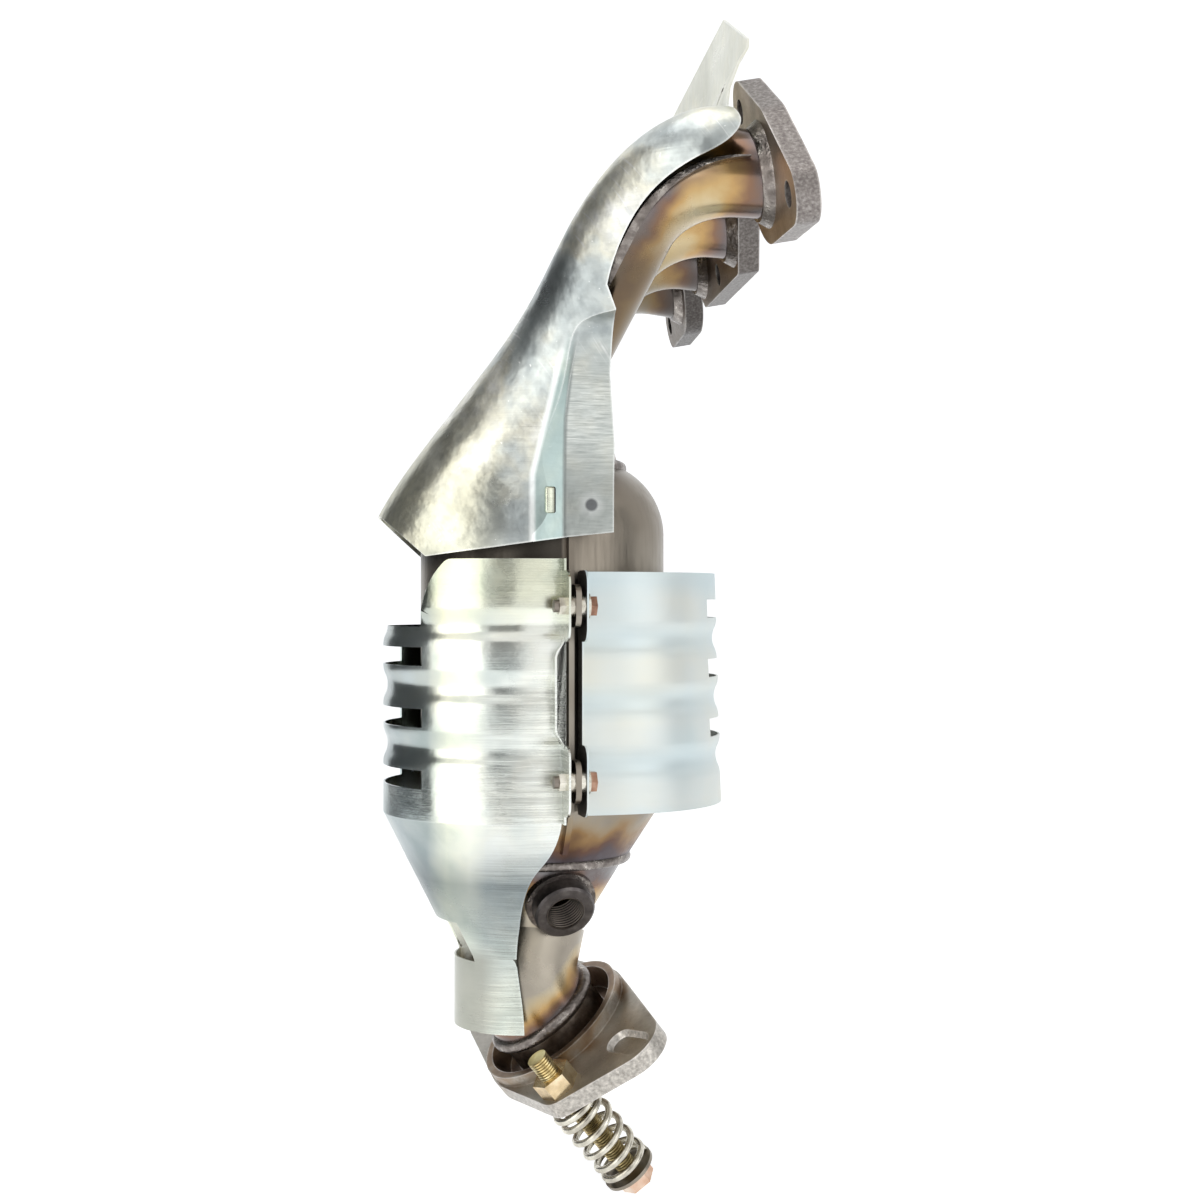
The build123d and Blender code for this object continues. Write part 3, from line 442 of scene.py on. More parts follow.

# %% [markdown]
# ## Finishes
#
# Each finish is one procedural material. Most slots of the record have one finish, and
# some have several: the centre and rear port flanges get copies with painted shade, and small plain
# fasteners are brighter than the stainless sheet. A small helper starts each finish. It hands back the
# tree, the shader and the Object coordinates that the patterns read.

# %% Material helpers


def start_material(name, metallic, roughness):
    """A material with its tree, its shader and its Object coordinates."""
    material = bpy.data.materials.new(name)
    material.use_nodes = True
    tree = material.node_tree
    shader = tree.nodes["Principled BSDF"]
    shader.inputs["Metallic"].default_value = metallic
    shader.inputs["Roughness"].default_value = roughness
    place = tree.nodes.new("ShaderNodeTexCoord").outputs["Object"]
    return material, tree, shader, place


def split(tree, vector):
    """A vector's X, Y and Z sockets, by name."""
    node = tree.nodes.new("ShaderNodeSeparateXYZ")
    tree.links.new(vector, node.inputs[0])
    return node.outputs


def use_group(tree, group, vector, **values):
    """A group placed in a material, with its inputs set."""
    node = tree.nodes.new("ShaderNodeGroup")
    node.node_tree = group
    tree.links.new(vector, node.inputs["Vector"])
    for label, value in values.items():
        node.inputs[label].default_value = value
    return node


def plane_distance(tree, vector, origin, direction):
    """How far a point is past a plane, as a value."""
    run = vector_maths(tree, "DOT_PRODUCT", vector, direction)
    return maths(tree, "SUBTRACT", run, Vector(origin).dot(Vector(direction)))


def heat_tint(tree, vector, distance, reach, unevenness):
    """The heat tint group's colour and mask at a distance from a weld."""
    node = use_group(tree, tint_group, vector, Reach=reach, Unevenness=unevenness)
    tree.links.new(distance, node.inputs["Distance"])
    return node.outputs["Color"], node.outputs["Mask"]


def edge_mask(tree, radius):
    """1 on sharp edges and 0 on flat faces, from how a rounded normal leaves the true one."""
    rounded = tree.nodes.new("ShaderNodeBevel")
    rounded.samples = 4
    rounded.inputs["Radius"].default_value = radius
    flat = tree.nodes.new("ShaderNodeNewGeometry")
    agree = vector_maths(tree, "DOT_PRODUCT", rounded.outputs["Normal"], flat.outputs["Normal"])
    return mapped(tree, maths(tree, "SUBTRACT", 1.0, agree), 0.02, 0.16, 0, 1)


def facing(tree, direction):
    """1 where a surface faces along a direction, either way, and 0 on its sides."""
    flat = tree.nodes.new("ShaderNodeNewGeometry")
    agree = vector_maths(tree, "DOT_PRODUCT", flat.outputs["Normal"], direction)
    return mapped(tree, maths(tree, "ABSOLUTE", agree), 0.88, 0.97, 0, 1)


def bump(tree, shader, height, strength, distance):
    """A bump on a shader, from a height."""
    node = tree.nodes.new("ShaderNodeBump")
    node.inputs["Strength"].default_value = strength
    node.inputs["Distance"].default_value = distance
    tree.links.new(height, node.inputs["Height"])
    tree.links.new(node.outputs["Normal"], shader.inputs["Normal"])


# %% Bright aluminised sheet
can_x = -0.087
seam_turn = radians(8.2)
seam_out = (cos(seam_turn), sin(seam_turn), 0)


def bright_sheet_material(name, tones, scratch, brushing, dullness, dents):
    """Bright sheet with cloudy tones, scratches, a brushed zone and a painted highlight along its edges. The
    tone isn't linked yet.
    """
    material, tree, shader, place = start_material(name, 1.0, 0.3)
    brushed = use_group(tree, streaks, place, Stretch=(26.0, 26.0, 1100.0), Depth=0.6)
    marks = use_group(tree, scratches, place, Turn=(0.0, 0.62, 0.0), Amount=scratch)
    axes = split(tree, place)
    zone = mapped(tree, axes["X"], -0.125, -0.105, 0.1, 1)
    lines = maths(tree, "MULTIPLY", brushed.outputs["Mask"], maths(tree, "MULTIPLY", zone, brushing))
    cloud_places = (0.36, 0.45, 0.54, 0.63)
    large = maths(tree, "MULTIPLY", noise(tree, place, 19.0, 3.5), 0.7)
    cloud = maths(tree, "ADD", large, maths(tree, "MULTIPLY", noise(tree, place, 75.0, 4.0), 0.3))
    tone = ramp(tree, cloud, list(zip(cloud_places, tones)))
    tone = mixed(tree, maths(tree, "MULTIPLY", lines, 0.7), tone, (0.36, 0.36, 0.34))
    tone = mixed(tree, marks.outputs["Mask"], tone, (0.94, 0.94, 0.92))
    # Painted highlight: a thin bright line along the sheet's edges.
    painted_rim_highlight = maths(tree, "MULTIPLY", edge_mask(tree, 0.0014), 0.85)
    tone = mixed(tree, painted_rim_highlight, tone, (0.96, 0.97, 0.95))
    dull = mapped(tree, noise(tree, place, 34.0, 4.0), 0.35, 0.7, dullness, dullness + 0.14)
    dull = maths(tree, "ADD", dull, maths(tree, "MULTIPLY", lines, 0.14))
    tree.links.new(dull, shader.inputs["Roughness"])
    waves = maths(tree, "MULTIPLY", noise(tree, place, 32.0, 1.0), 12.0)
    waves = maths(tree, "ADD", waves, maths(tree, "MULTIPLY", noise(tree, place, 85.0, 3.0), dents))
    bump(tree, shader, maths(tree, "ADD", lines, waves), 0.35, 0.0003)
    return material, tree, shader, place, axes, tone


def painted_gap_shade(tree, place, tone):
    """A can shield's tone, with painted shade on the side of its flanges that faces the can's seam, where
    the deep gap between the shields falls dark.
    """
    # Painted shade: inner flange faces close to the seam are painted nearly black.
    from_seam = plane_distance(tree, place, (can_x, 0, 0), seam_out)
    normal = tree.nodes.new("ShaderNodeNewGeometry").outputs["Normal"]
    agree = vector_maths(tree, "DOT_PRODUCT", normal, seam_out)
    outward = maths(tree, "MULTIPLY", agree, maths(tree, "SIGN", from_seam))
    inner = mapped(tree, outward, -0.3, -0.12, 1, 0)
    close = mapped(tree, maths(tree, "ABSOLUTE", from_seam), 0.013, 0.022, 1, 0)
    return mixed(tree, maths(tree, "MULTIPLY", inner, close), tone, (0.03, 0.028, 0.025))


def between(tree, value, start, stop, blur):
    """1 where a value lies between two limits, which may be sockets or numbers, and 0 outside."""
    past = mapped(tree, maths(tree, "SUBTRACT", value, start), -blur, blur, 0, 1)
    short = mapped(tree, maths(tree, "SUBTRACT", value, stop), -blur, blur, 1, 0)
    return maths(tree, "MULTIPLY", past, short)


# %% Hood sheet: the step along its sides with a painted reflection, a painted highlight on its ridge and painted shade in its fold, the brushed strip and a spot weld
hood_tones = [(0.44, 0.48, 0.48), (0.62, 0.66, 0.64), (0.80, 0.78, 0.66), (0.98, 0.98, 0.94)]
hood_sheet, tree, shader, place, axes, tone = bright_sheet_material(
    "hood sheet", hood_tones, scratch=1.0, brushing=0.3, dullness=0.27, dents=6.0
)
across = maths(tree, "ABSOLUTE", axes["Y"])
along, up = axes["X"], axes["Z"]
low_down = mapped(tree, up, -0.075, -0.115, 0, 0.75)
low_corner = maths(tree, "MULTIPLY", low_down, mapped(tree, along, -0.105, -0.122, 0, 1))
tone = mixed(tree, low_corner, tone, (0.76, 0.74, 0.57))
specked = mapped(tree, noise(tree, place, 230.0, 6.0), 0.38, 0.58, 0.80, 1)
blotched = mapped(tree, noise(tree, place, 62.0, 7.0), 0.48, 0.54, 0.88, 1)
clean = maths(tree, "MULTIPLY", specked, blotched)
clean = maths(tree, "MULTIPLY", clean, mapped(tree, up, -0.03, -0.06, 1, 0.9))
tone = mixed(tree, maths(tree, "SUBTRACT", 1.0, clean), tone, (0.10, 0.11, 0.11))
pits = mapped(tree, noise(tree, place, 420.0, 2.0), 0.72, 0.76, 0, 0.6)
tone = mixed(tree, pits, tone, (0.95, 0.95, 0.93))
port_side = mapped(tree, up, 0.012, 0.026, 0, 0.7)
tone = mixed(tree, port_side, tone, (0.72, 0.71, 0.58))
ridge_x = mapped(tree, up, -0.115, -0.060, -0.0955, -0.083)
fold_x = mapped(tree, up, -0.092, -0.050, -0.082, -0.078)
below_slope = mapped(tree, up, -0.075, -0.058, 1, 0)
on_side = maths(tree, "MULTIPLY", mapped(tree, across, 0.052, 0.058, 0, 1), below_slope)
# Painted reflection: the step's slope is tinted green-grey.
joggle_painted_reflection = maths(tree, "MULTIPLY", between(tree, along, ridge_x, fold_x, 0.0006), on_side)
tone = mixed(tree, maths(tree, "MULTIPLY", joggle_painted_reflection, 0.8), tone, (0.36, 0.46, 0.44))
strip = maths(tree, "MULTIPLY", between(tree, along, fold_x, -0.03, 0.0006), on_side)
drawn = use_group(tree, streaks, place, Stretch=(110.0, 110.0, 1600.0), Depth=1.0)
strip_tone = mixed(tree, drawn.outputs["Mask"], (0.32, 0.34, 0.32), (0.68, 0.70, 0.66))
tone = mixed(tree, maths(tree, "MULTIPLY", strip, 0.8), tone, strip_tone)
# Painted highlight: a bright line along the step's ridge.
ridge_gap = maths(tree, "ABSOLUTE", maths(tree, "SUBTRACT", along, ridge_x))
ridge_painted_highlight = maths(tree, "MULTIPLY", mapped(tree, ridge_gap, 0.0005, 0.0018, 0.8, 0), on_side)
tone = mixed(tree, ridge_painted_highlight, tone, (0.93, 0.95, 0.93))
# Painted shade: a dark line in the step's fold.
fold_gap = maths(tree, "ABSOLUTE", maths(tree, "SUBTRACT", along, fold_x))
fold_painted_shade = maths(tree, "MULTIPLY", mapped(tree, fold_gap, 0.0003, 0.0012, 0.8, 0), on_side)
tone = mixed(tree, fold_painted_shade, tone, (0.20, 0.22, 0.21))
spot_place = (-0.0705, 0.064, -0.1275)
either_side = tree.nodes.new("ShaderNodeCombineXYZ")
for axis, value in (("X", along), ("Y", across), ("Z", up)):
    tree.links.new(value, either_side.inputs[axis])
from_spot = vector_maths(tree, "DISTANCE", either_side.outputs[0], spot_place)
halo = mapped(tree, from_spot, 0.003, 0.0065, 0.3, 0)
tone = mixed(tree, halo, tone, (0.85, 0.86, 0.85))
spot = mapped(tree, from_spot, 0.0021, 0.0031, 0.9, 0)
tone = mixed(tree, spot, tone, (0.12, 0.125, 0.13))
# The painted highlight along the sheet's edges is laid on once more, over the mottling and the painted
# lines.
painted_rim_highlight = maths(tree, "MULTIPLY", edge_mask(tree, 0.0014), 0.7)
tree.links.new(mixed(tree, painted_rim_highlight, tone, (0.94, 0.95, 0.92)), shader.inputs["Base Color"])
print("material:", hood_sheet.name)

# %% Front shield sheet: painted reflection bands across the can and down the skirt, and painted shade at its foot
front_tones = [(0.70, 0.74, 0.72), (0.84, 0.86, 0.83), (0.95, 0.94, 0.88), (1.0, 1.0, 0.97)]
bright_sheet, tree, shader, place, axes, tone = bright_sheet_material(
    "bright sheet", front_tones, scratch=0.3, brushing=1.0, dullness=0.16, dents=2.0
)
# Painted reflection: bands across the can, dark on the left, then a bright softbox reflection, then lighter
# grey.
painted_reflection_bands = ramp(
    tree,
    mapped(tree, axes["X"], -0.150, -0.090, 0, 1),
    [
        (0.0, (0.44, 0.49, 0.51)),
        (0.18, (0.50, 0.54, 0.54)),
        (0.32, (0.93, 0.93, 0.80)),
        (0.48, (0.98, 0.98, 0.89)),
        (0.60, (0.80, 0.82, 0.80)),
        (1.0, (0.86, 0.88, 0.86)),
    ],
)
# Painted reflection down the skirt: white at its top, dark in the middle and lighter towards the foot.
skirt_painted_reflection = ramp(
    tree,
    mapped(tree, axes["Z"], -0.262, -0.345, 0, 1),
    [
        (0.0, (1.0, 1.0, 1.0)),
        (0.16, (0.80, 0.82, 0.85)),
        (0.34, (0.36, 0.39, 0.42)),
        (0.55, (0.50, 0.53, 0.55)),
        (0.70, (0.80, 0.82, 0.82)),
        (1.0, (0.90, 0.92, 0.88)),
    ],
)
tone = mixed(tree, 1.0, mixed(tree, 1.0, tone, painted_reflection_bands, "MULTIPLY"), skirt_painted_reflection, "MULTIPLY")
near_top = mapped(tree, axes["Z"], -0.185, -0.165, 0, 1)
tone = mixed(tree, near_top, tone, (0.86, 0.86, 0.75), "MULTIPLY")
# Painted shade: a dark strip along the left side of the skirt's foot.
painted_shade_at_foot = maths(
    tree,
    "MULTIPLY",
    mapped(tree, axes["Z"], -0.318, -0.326, 0, 0.85),
    mapped(tree, axes["X"], -0.105, -0.115, 0, 1),
)
tone = mixed(tree, painted_shade_at_foot, tone, (0.34, 0.34, 0.30))
# Painted shade on the inner flange faces by the seam.
tree.links.new(painted_gap_shade(tree, place, tone), shader.inputs["Base Color"])
print("material:", bright_sheet.name)

# %% Pale aluminised sheet
pale_sheet, tree, shader, place = start_material("pale sheet", 0.45, 0.5)
tone = ramp(
    tree,
    noise(tree, place, 16.0, 3.0),
    [(0.32, (0.68, 0.77, 0.77)), (0.5, (0.77, 0.81, 0.78)), (0.66, (0.82, 0.82, 0.73))],
)
groove_z, groove_pitch = -0.1845, 0.0264
past_groove = maths(tree, "SUBTRACT", split(tree, place)["Z"], groove_z)
from_groove = maths(tree, "PINGPONG", past_groove, groove_pitch / 2)
in_groove = mapped(tree, from_groove, 0.002, 0.009, 0.45, 0)
tone = mixed(tree, in_groove, tone, (0.62, 0.75, 0.79))
# Painted shade on the inner flange faces by the seam, as on the front shield.
tree.links.new(painted_gap_shade(tree, place, tone), shader.inputs["Base Color"])
brushed = use_group(tree, streaks, place, Stretch=(40.0, 40.0, 700.0), Depth=0.5)
dull = maths(tree, "ADD", maths(tree, "MULTIPLY", brushed.outputs["Mask"], 0.12), 0.42)
tree.links.new(dull, shader.inputs["Roughness"])
bump(tree, shader, brushed.outputs["Height"], 0.2, 0.0002)
print("material:", pale_sheet.name)

# %% Runner sheet: heat tints at the seam weld and the head, painted shade below and to the rear
tilt = radians(10)
head_normal = Vector((cos(tilt), 0, sin(tilt)))
flange_back = -0.0095 * head_normal
seam_bend = Vector((-0.047, 0, 0.002))
seam_end = Vector((-0.085, 0, -0.0755))
fall = (seam_end - seam_bend).normalized()
heated, tree, shader, place = start_material("heated stainless", 1.0, 0.3)
silver = ramp(
    tree,
    noise(tree, place, 26.0, 3.0),
    [(0.3, (0.24, 0.20, 0.14)), (0.5, (0.44, 0.37, 0.25)), (0.7, (0.62, 0.55, 0.42))],
)
under_first = plane_distance(tree, place, seam_bend, (0, 0, -1))
under_second = plane_distance(tree, place, seam_bend, (-fall.z, 0, fall.x))
seam_gap = maths(
    tree, "MINIMUM", maths(tree, "ABSOLUTE", under_first), maths(tree, "ABSOLUTE", under_second)
)
seam_tint, seam_mask = heat_tint(tree, place, seam_gap, 0.022, 0.003)
axes = split(tree, place)
# Painted shade: the runners darken towards the bottom, where they lie in shadow under the hood's edge.
painted_shade_below = mapped(tree, axes["Z"], -0.014, -0.034, 0, 0.85)
# Painted shade: the runners darken towards the rear, where they lie in shadow.
painted_shade_to_rear = mapped(tree, axes["Y"], -0.01, 0.05, 0, 0.75)
tone = mixed(tree, painted_shade_below, mixed(tree, seam_mask, silver, seam_tint), (0.12, 0.09, 0.06))
head_tint, head_mask = heat_tint(
    tree, place, plane_distance(tree, place, flange_back, head_normal), 0.034, 0.004
)
tone = mixed(tree, head_mask, tone, mixed(tree, 0.55, tone, head_tint))
close_to_head = mapped(tree, head_mask, 0.75, 1.0, 0, 1)
tone = mixed(tree, close_to_head, tone, head_tint)
tree.links.new(mixed(tree, painted_shade_to_rear, tone, (0.045, 0.037, 0.03)), shader.inputs["Base Color"])
drawn = use_group(tree, streaks, place, Stretch=(300.0, 60.0, 300.0), Depth=0.5)
dull = maths(tree, "ADD", maths(tree, "MULTIPLY", drawn.outputs["Mask"], 0.15), 0.18)
tree.links.new(dull, shader.inputs["Roughness"])
bump(tree, shader, drawn.outputs["Height"], 0.12, 0.0002)
print("material:", heated.name)

# %% Outlet pipe with heat tints at both welds
piped, tree, shader, place = start_material("heated pipe", 1.0, 0.3)
satin = ramp(
    tree,
    noise(tree, place, 30.0, 3.0),
    [(0.3, (0.28, 0.25, 0.21)), (0.55, (0.39, 0.35, 0.285)), (0.75, (0.50, 0.44, 0.34))],
)
lean, swing = radians(38), radians(12)
outlet_centre = Vector((-0.0835, 0, -0.3575))
outlet_axis = Vector((sin(lean) * cos(swing), sin(swing), -cos(lean) * cos(swing)))
collar_top = outlet_centre - 0.007 * outlet_axis
cone_weld_place = Vector((-0.087, 0, -0.283))
upper_tint, upper_mask = heat_tint(
    tree, place, plane_distance(tree, place, cone_weld_place, (0, 0, 1)), 0.030, 0.006
)
lower_tint, lower_mask = heat_tint(
    tree, place, plane_distance(tree, place, collar_top, outlet_axis), 0.017, 0.003
)
tone = mixed(tree, upper_mask, satin, upper_tint)
tree.links.new(mixed(tree, lower_mask, tone, lower_tint), shader.inputs["Base Color"])
dull = mapped(tree, noise(tree, place, 90.0, 3.0), 0.3, 0.7, 0.22, 0.38)
tree.links.new(dull, shader.inputs["Roughness"])
print("material:", piped.name)

# %% Satin stainless of the can, with painted shade near the seam under the hood and between the shields
stainless, tree, shader, place = start_material("satin stainless", 1.0, 0.35)
satin = ramp(
    tree,
    noise(tree, place, 18.0, 3.0),
    [(0.3, (0.18, 0.155, 0.125)), (0.5, (0.25, 0.22, 0.18)), (0.7, (0.36, 0.33, 0.28))],
)
cone_tint, cone_mask = heat_tint(
    tree, place, plane_distance(tree, place, cone_weld_place, (0, 0, 1)), 0.024, 0.004
)
tone = mixed(tree, cone_mask, satin, mixed(tree, 1.0, cone_tint, (0.58, 0.56, 0.62), "MULTIPLY"))
up = split(tree, place)["Z"]
past_seam = plane_distance(tree, place, (can_x, 0, 0), seam_out)
# Painted shade: the can just in front of the seam, under the hood's foot, is painted nearly black.
painted_shade_under_hood = maths(
    tree,
    "MULTIPLY",
    mapped(tree, past_seam, -0.0034, -0.0024, 0.8, 0),
    between(tree, up, -0.152, -0.118, 0.003),
)
tone = mixed(tree, painted_shade_under_hood, tone, (0.03, 0.027, 0.024))
from_seam = maths(tree, "ABSOLUTE", past_seam)
# Painted shade: the can beside the seam, between the shields' flanges, is painted nearly black for the deep
# gap.
painted_shade_between_shields = maths(
    tree,
    "MULTIPLY",
    between(tree, from_seam, 0.0024, 0.018, 0.0005),
    between(tree, up, -0.254, -0.157, 0.002),
)
tone = mixed(tree, maths(tree, "MULTIPLY", painted_shade_between_shields, 0.9), tone, (0.02, 0.018, 0.016))
tree.links.new(tone, shader.inputs["Base Color"])
rolled = use_group(tree, streaks, place, Stretch=(500.0, 500.0, 40.0), Depth=0.5)
dull = maths(tree, "ADD", maths(tree, "MULTIPLY", rolled.outputs["Mask"], 0.2), 0.28)
tree.links.new(dull, shader.inputs["Roughness"])
bump(tree, shader, rolled.outputs["Height"], 0.15, 0.0002)
print("material:", stainless.name)

# %% Sawn steel of the flanges: smooth stained faces, rough sides, painted highlights on the corners, and darker copies with painted shade


def shaded(colour, share):
    """A colour at a share of its brightness."""
    return tuple(part * share for part in colour)


def sawn_material(name, share):
    """Sawn steel. Copies for the centre and rear port flanges are darker by a share: painted shade."""
    material, tree, shader, place = start_material(name, 0.95, 0.42)
    rough = use_group(tree, grain, place, Coarse=800.0, Fine=2600.0)
    side_stops = [(0.0, (0.15, 0.13, 0.125)), (0.5, (0.24, 0.215, 0.20)), (1.0, (0.37, 0.345, 0.325))]
    face_stops = [(0.32, (0.32, 0.24, 0.17)), (0.5, (0.48, 0.37, 0.28)), (0.68, (0.66, 0.55, 0.45))]
    rough_tone = ramp(tree, rough.outputs["Value"], [(at, shaded(c, share)) for at, c in side_stops])
    smooth_tone = ramp(tree, noise(tree, place, 45.0, 4.0), [(at, shaded(c, share)) for at, c in face_stops])
    on_face = maths(tree, "MULTIPLY", facing(tree, head_normal), 0.85)
    tone = mixed(tree, on_face, rough_tone, smooth_tone)
    patchy = mapped(tree, noise(tree, place, 90.0, 3.0), 0.35, 0.6, 0.3, 1)
    # Painted highlight: patchy bright lines along the sharp edges.
    painted_edge_highlight = maths(tree, "MULTIPLY", edge_mask(tree, 0.0014), patchy)
    tone = mixed(tree, painted_edge_highlight, tone, shaded((0.82, 0.78, 0.74), 0.4 + 0.6 * share))
    tree.links.new(tone, shader.inputs["Base Color"])
    tree.links.new(mapped(tree, rough.outputs["Value"], 0, 1, 0.48, 0.32), shader.inputs["Roughness"])
    height = maths(tree, "MULTIPLY", rough.outputs["Height"], maths(tree, "SUBTRACT", 1.0, on_face))
    bump(tree, shader, height, 0.35, 0.0003)
    return material


sawn = sawn_material("sawn steel", 1.0)
# Painted shade: darker copies for the centre and rear port flanges.
sawn_shaded = sawn_material("sawn steel, painted shade", 0.6)
sawn_deep_shaded = sawn_material("sawn steel, deep painted shade", 0.36)
print("materials:", sawn.name, sawn_shaded.name, sawn_deep_shaded.name)

# %% Outlet flange, stained by the weld in its dish
dished, tree, shader, place = start_material("stained flange", 0.9, 0.45)
rough = use_group(tree, grain, place, Coarse=620.0, Fine=2400.0)
rough_tone = ramp(
    tree,
    rough.outputs["Value"],
    [(0.0, (0.30, 0.28, 0.25)), (0.5, (0.46, 0.43, 0.39)), (1.0, (0.68, 0.64, 0.58))],
)
smooth_tone = ramp(
    tree,
    noise(tree, place, 55.0, 4.0),
    [(0.32, (0.28, 0.255, 0.215)), (0.5, (0.40, 0.375, 0.33)), (0.68, (0.52, 0.49, 0.44))],
)
on_face = maths(tree, "MULTIPLY", facing(tree, outlet_axis), 0.85)
base = mixed(tree, on_face, rough_tone, smooth_tone)
from_weld = vector_maths(tree, "DISTANCE", place, collar_top)
wander = mapped(tree, noise(tree, place, 70.0, 3.0), 0.3, 0.7, -0.004, 0.004)
ring = maths(tree, "ADD", from_weld, wander)
stain = ramp(
    tree,
    mapped(tree, ring, 0.026, 0.044, 0, 1),
    [
        (0.0, (0.06, 0.05, 0.045)),
        (0.3, (0.15, 0.095, 0.065)),
        (0.6, (0.28, 0.20, 0.13)),
        (1.0, (0.34, 0.33, 0.30)),
    ],
)
tone = mixed(tree, mapped(tree, ring, 0.036, 0.05, 1, 0), base, stain)
patchy = mapped(tree, noise(tree, place, 110.0, 3.0), 0.35, 0.6, 0.3, 1)
# Painted highlight: patchy bright lines along the sharp edges.
painted_edge_highlight = maths(tree, "MULTIPLY", edge_mask(tree, 0.0012), patchy)
tone = mixed(tree, painted_edge_highlight, tone, (0.80, 0.77, 0.73))
tree.links.new(tone, shader.inputs["Base Color"])
tree.links.new(mapped(tree, rough.outputs["Value"], 0, 1, 0.42, 0.26), shader.inputs["Roughness"])
height = maths(tree, "MULTIPLY", rough.outputs["Height"], maths(tree, "SUBTRACT", 1.0, on_face))
bump(tree, shader, height, 0.4, 0.0004)
print("material:", dished.name)

# %% Weld bead
weld, tree, shader, place = start_material("weld bead", 0.95, 0.32)
beads = use_group(tree, grain, place, Coarse=190.0, Fine=900.0)
tone = ramp(
    tree,
    beads.outputs["Value"],
    [
        (0.0, (0.11, 0.095, 0.085)),
        (0.45, (0.20, 0.175, 0.16)),
        (0.8, (0.33, 0.30, 0.275)),
        (1.0, (0.62, 0.58, 0.52)),
    ],
)
tree.links.new(tone, shader.inputs["Base Color"])
tree.links.new(mapped(tree, beads.outputs["Value"], 0, 1, 0.42, 0.2), shader.inputs["Roughness"])
bump(tree, shader, beads.outputs["Height"], 0.55, 0.0011)
print("material:", weld.name)

# %% Turned steel
turned, tree, shader, place = start_material("turned steel", 0.95, 0.3)
beads = use_group(tree, grain, place, Coarse=120.0, Fine=900.0)
tone = ramp(
    tree,
    beads.outputs["Value"],
    [(0.0, (0.10, 0.075, 0.06)), (0.5, (0.24, 0.19, 0.15)), (1.0, (0.46, 0.40, 0.34))],
)
tree.links.new(tone, shader.inputs["Base Color"])
bump(tree, shader, beads.outputs["Height"], 0.25, 0.0003)
print("material:", turned.name)

# %% Sensor boss, threaded inside
boss_place = (-0.081, -0.027, -0.2995)
bore_edge = 0.0084
boss_axis = Vector((0.2, -0.85, -0.49)).normalized()
bored, tree, shader, place = start_material("threaded boss", 0.9, 0.36)
beads = use_group(tree, grain, place, Coarse=180.0, Fine=900.0)
tone = ramp(
    tree,
    beads.outputs["Value"],
    [(0.0, (0.065, 0.058, 0.056)), (0.5, (0.11, 0.098, 0.095)), (1.0, (0.18, 0.165, 0.155))],
)
cut_thread = use_group(tree, thread, place, Direction=tuple(boss_axis), Pitch=0.0015)
from_boss = vector_maths(tree, "SUBTRACT", place, boss_place)
radius = vector_maths(tree, "LENGTH", vector_maths(tree, "CROSS_PRODUCT", from_boss, boss_axis))
inside = mapped(tree, radius, bore_edge, bore_edge + 0.0004, 1, 0)
tree.links.new(mixed(tree, inside, tone, (0.12, 0.10, 0.085)), shader.inputs["Base Color"])
bump(tree, shader, maths(tree, "MULTIPLY", cut_thread.outputs["Height"], inside), 1.0, 0.0018)
print("material:", bored.name)

# %% Spring bolts: yellow zinc thread, reddish head
zinc, tree, shader, place = start_material("yellow zinc", 1.0, 0.28)
gold = ramp(
    tree,
    noise(tree, place, 130.0, 3.0),
    [(0.3, (0.30, 0.22, 0.10)), (0.5, (0.58, 0.46, 0.22)), (0.72, (0.86, 0.77, 0.50))],
)
copper = ramp(
    tree,
    noise(tree, place, 120.0, 3.0),
    [(0.3, (0.50, 0.30, 0.20)), (0.5, (0.66, 0.44, 0.32)), (0.75, (0.84, 0.72, 0.60))],
)
depth = vector_maths(tree, "DOT_PRODUCT", place, outlet_axis)
plating_change = 0.054
head_start = outlet_centre.dot(outlet_axis) + plating_change
at_head = mapped(tree, depth, head_start, head_start + 0.0005, 0, 1)
tree.links.new(mixed(tree, at_head, gold, copper), shader.inputs["Base Color"])
cut_thread = use_group(tree, thread, place, Direction=tuple(outlet_axis), Pitch=0.00125)
shank = mapped(tree, at_head, 0, 1, 1, 0)
bump(tree, shader, maths(tree, "MULTIPLY", cut_thread.outputs["Height"], shank), 1.0, 0.0013)
print("material:", zinc.name)

# %% Yellow zinc of the nuts, and drawn wire for springs and plain small fasteners


def plain_metal(name, roughness, cloud_scale, stops, grain_scale):
    """A metal with a cloudy tone and a fine relief, and nothing that depends on the place."""
    material, tree, shader, place = start_material(name, 1.0, roughness)
    tree.links.new(ramp(tree, noise(tree, place, cloud_scale, 3.0), stops), shader.inputs["Base Color"])
    bump(tree, shader, noise(tree, place, grain_scale), 0.2, 0.0003)
    return material


nut_stops = [(0.3, (0.44, 0.32, 0.17)), (0.5, (0.70, 0.55, 0.34)), (0.7, (0.92, 0.82, 0.60))]
wire_stops = [(0.3, (0.34, 0.31, 0.26)), (0.5, (0.57, 0.54, 0.46)), (0.75, (0.84, 0.81, 0.72))]
nut_zinc = plain_metal("yellow zinc nut", 0.26, 110.0, nut_stops, 700.0)
wire_steel = plain_metal("drawn wire", 0.24, 160.0, wire_stops, 600.0)
print("materials:", nut_zinc.name, "and", wire_steel.name)

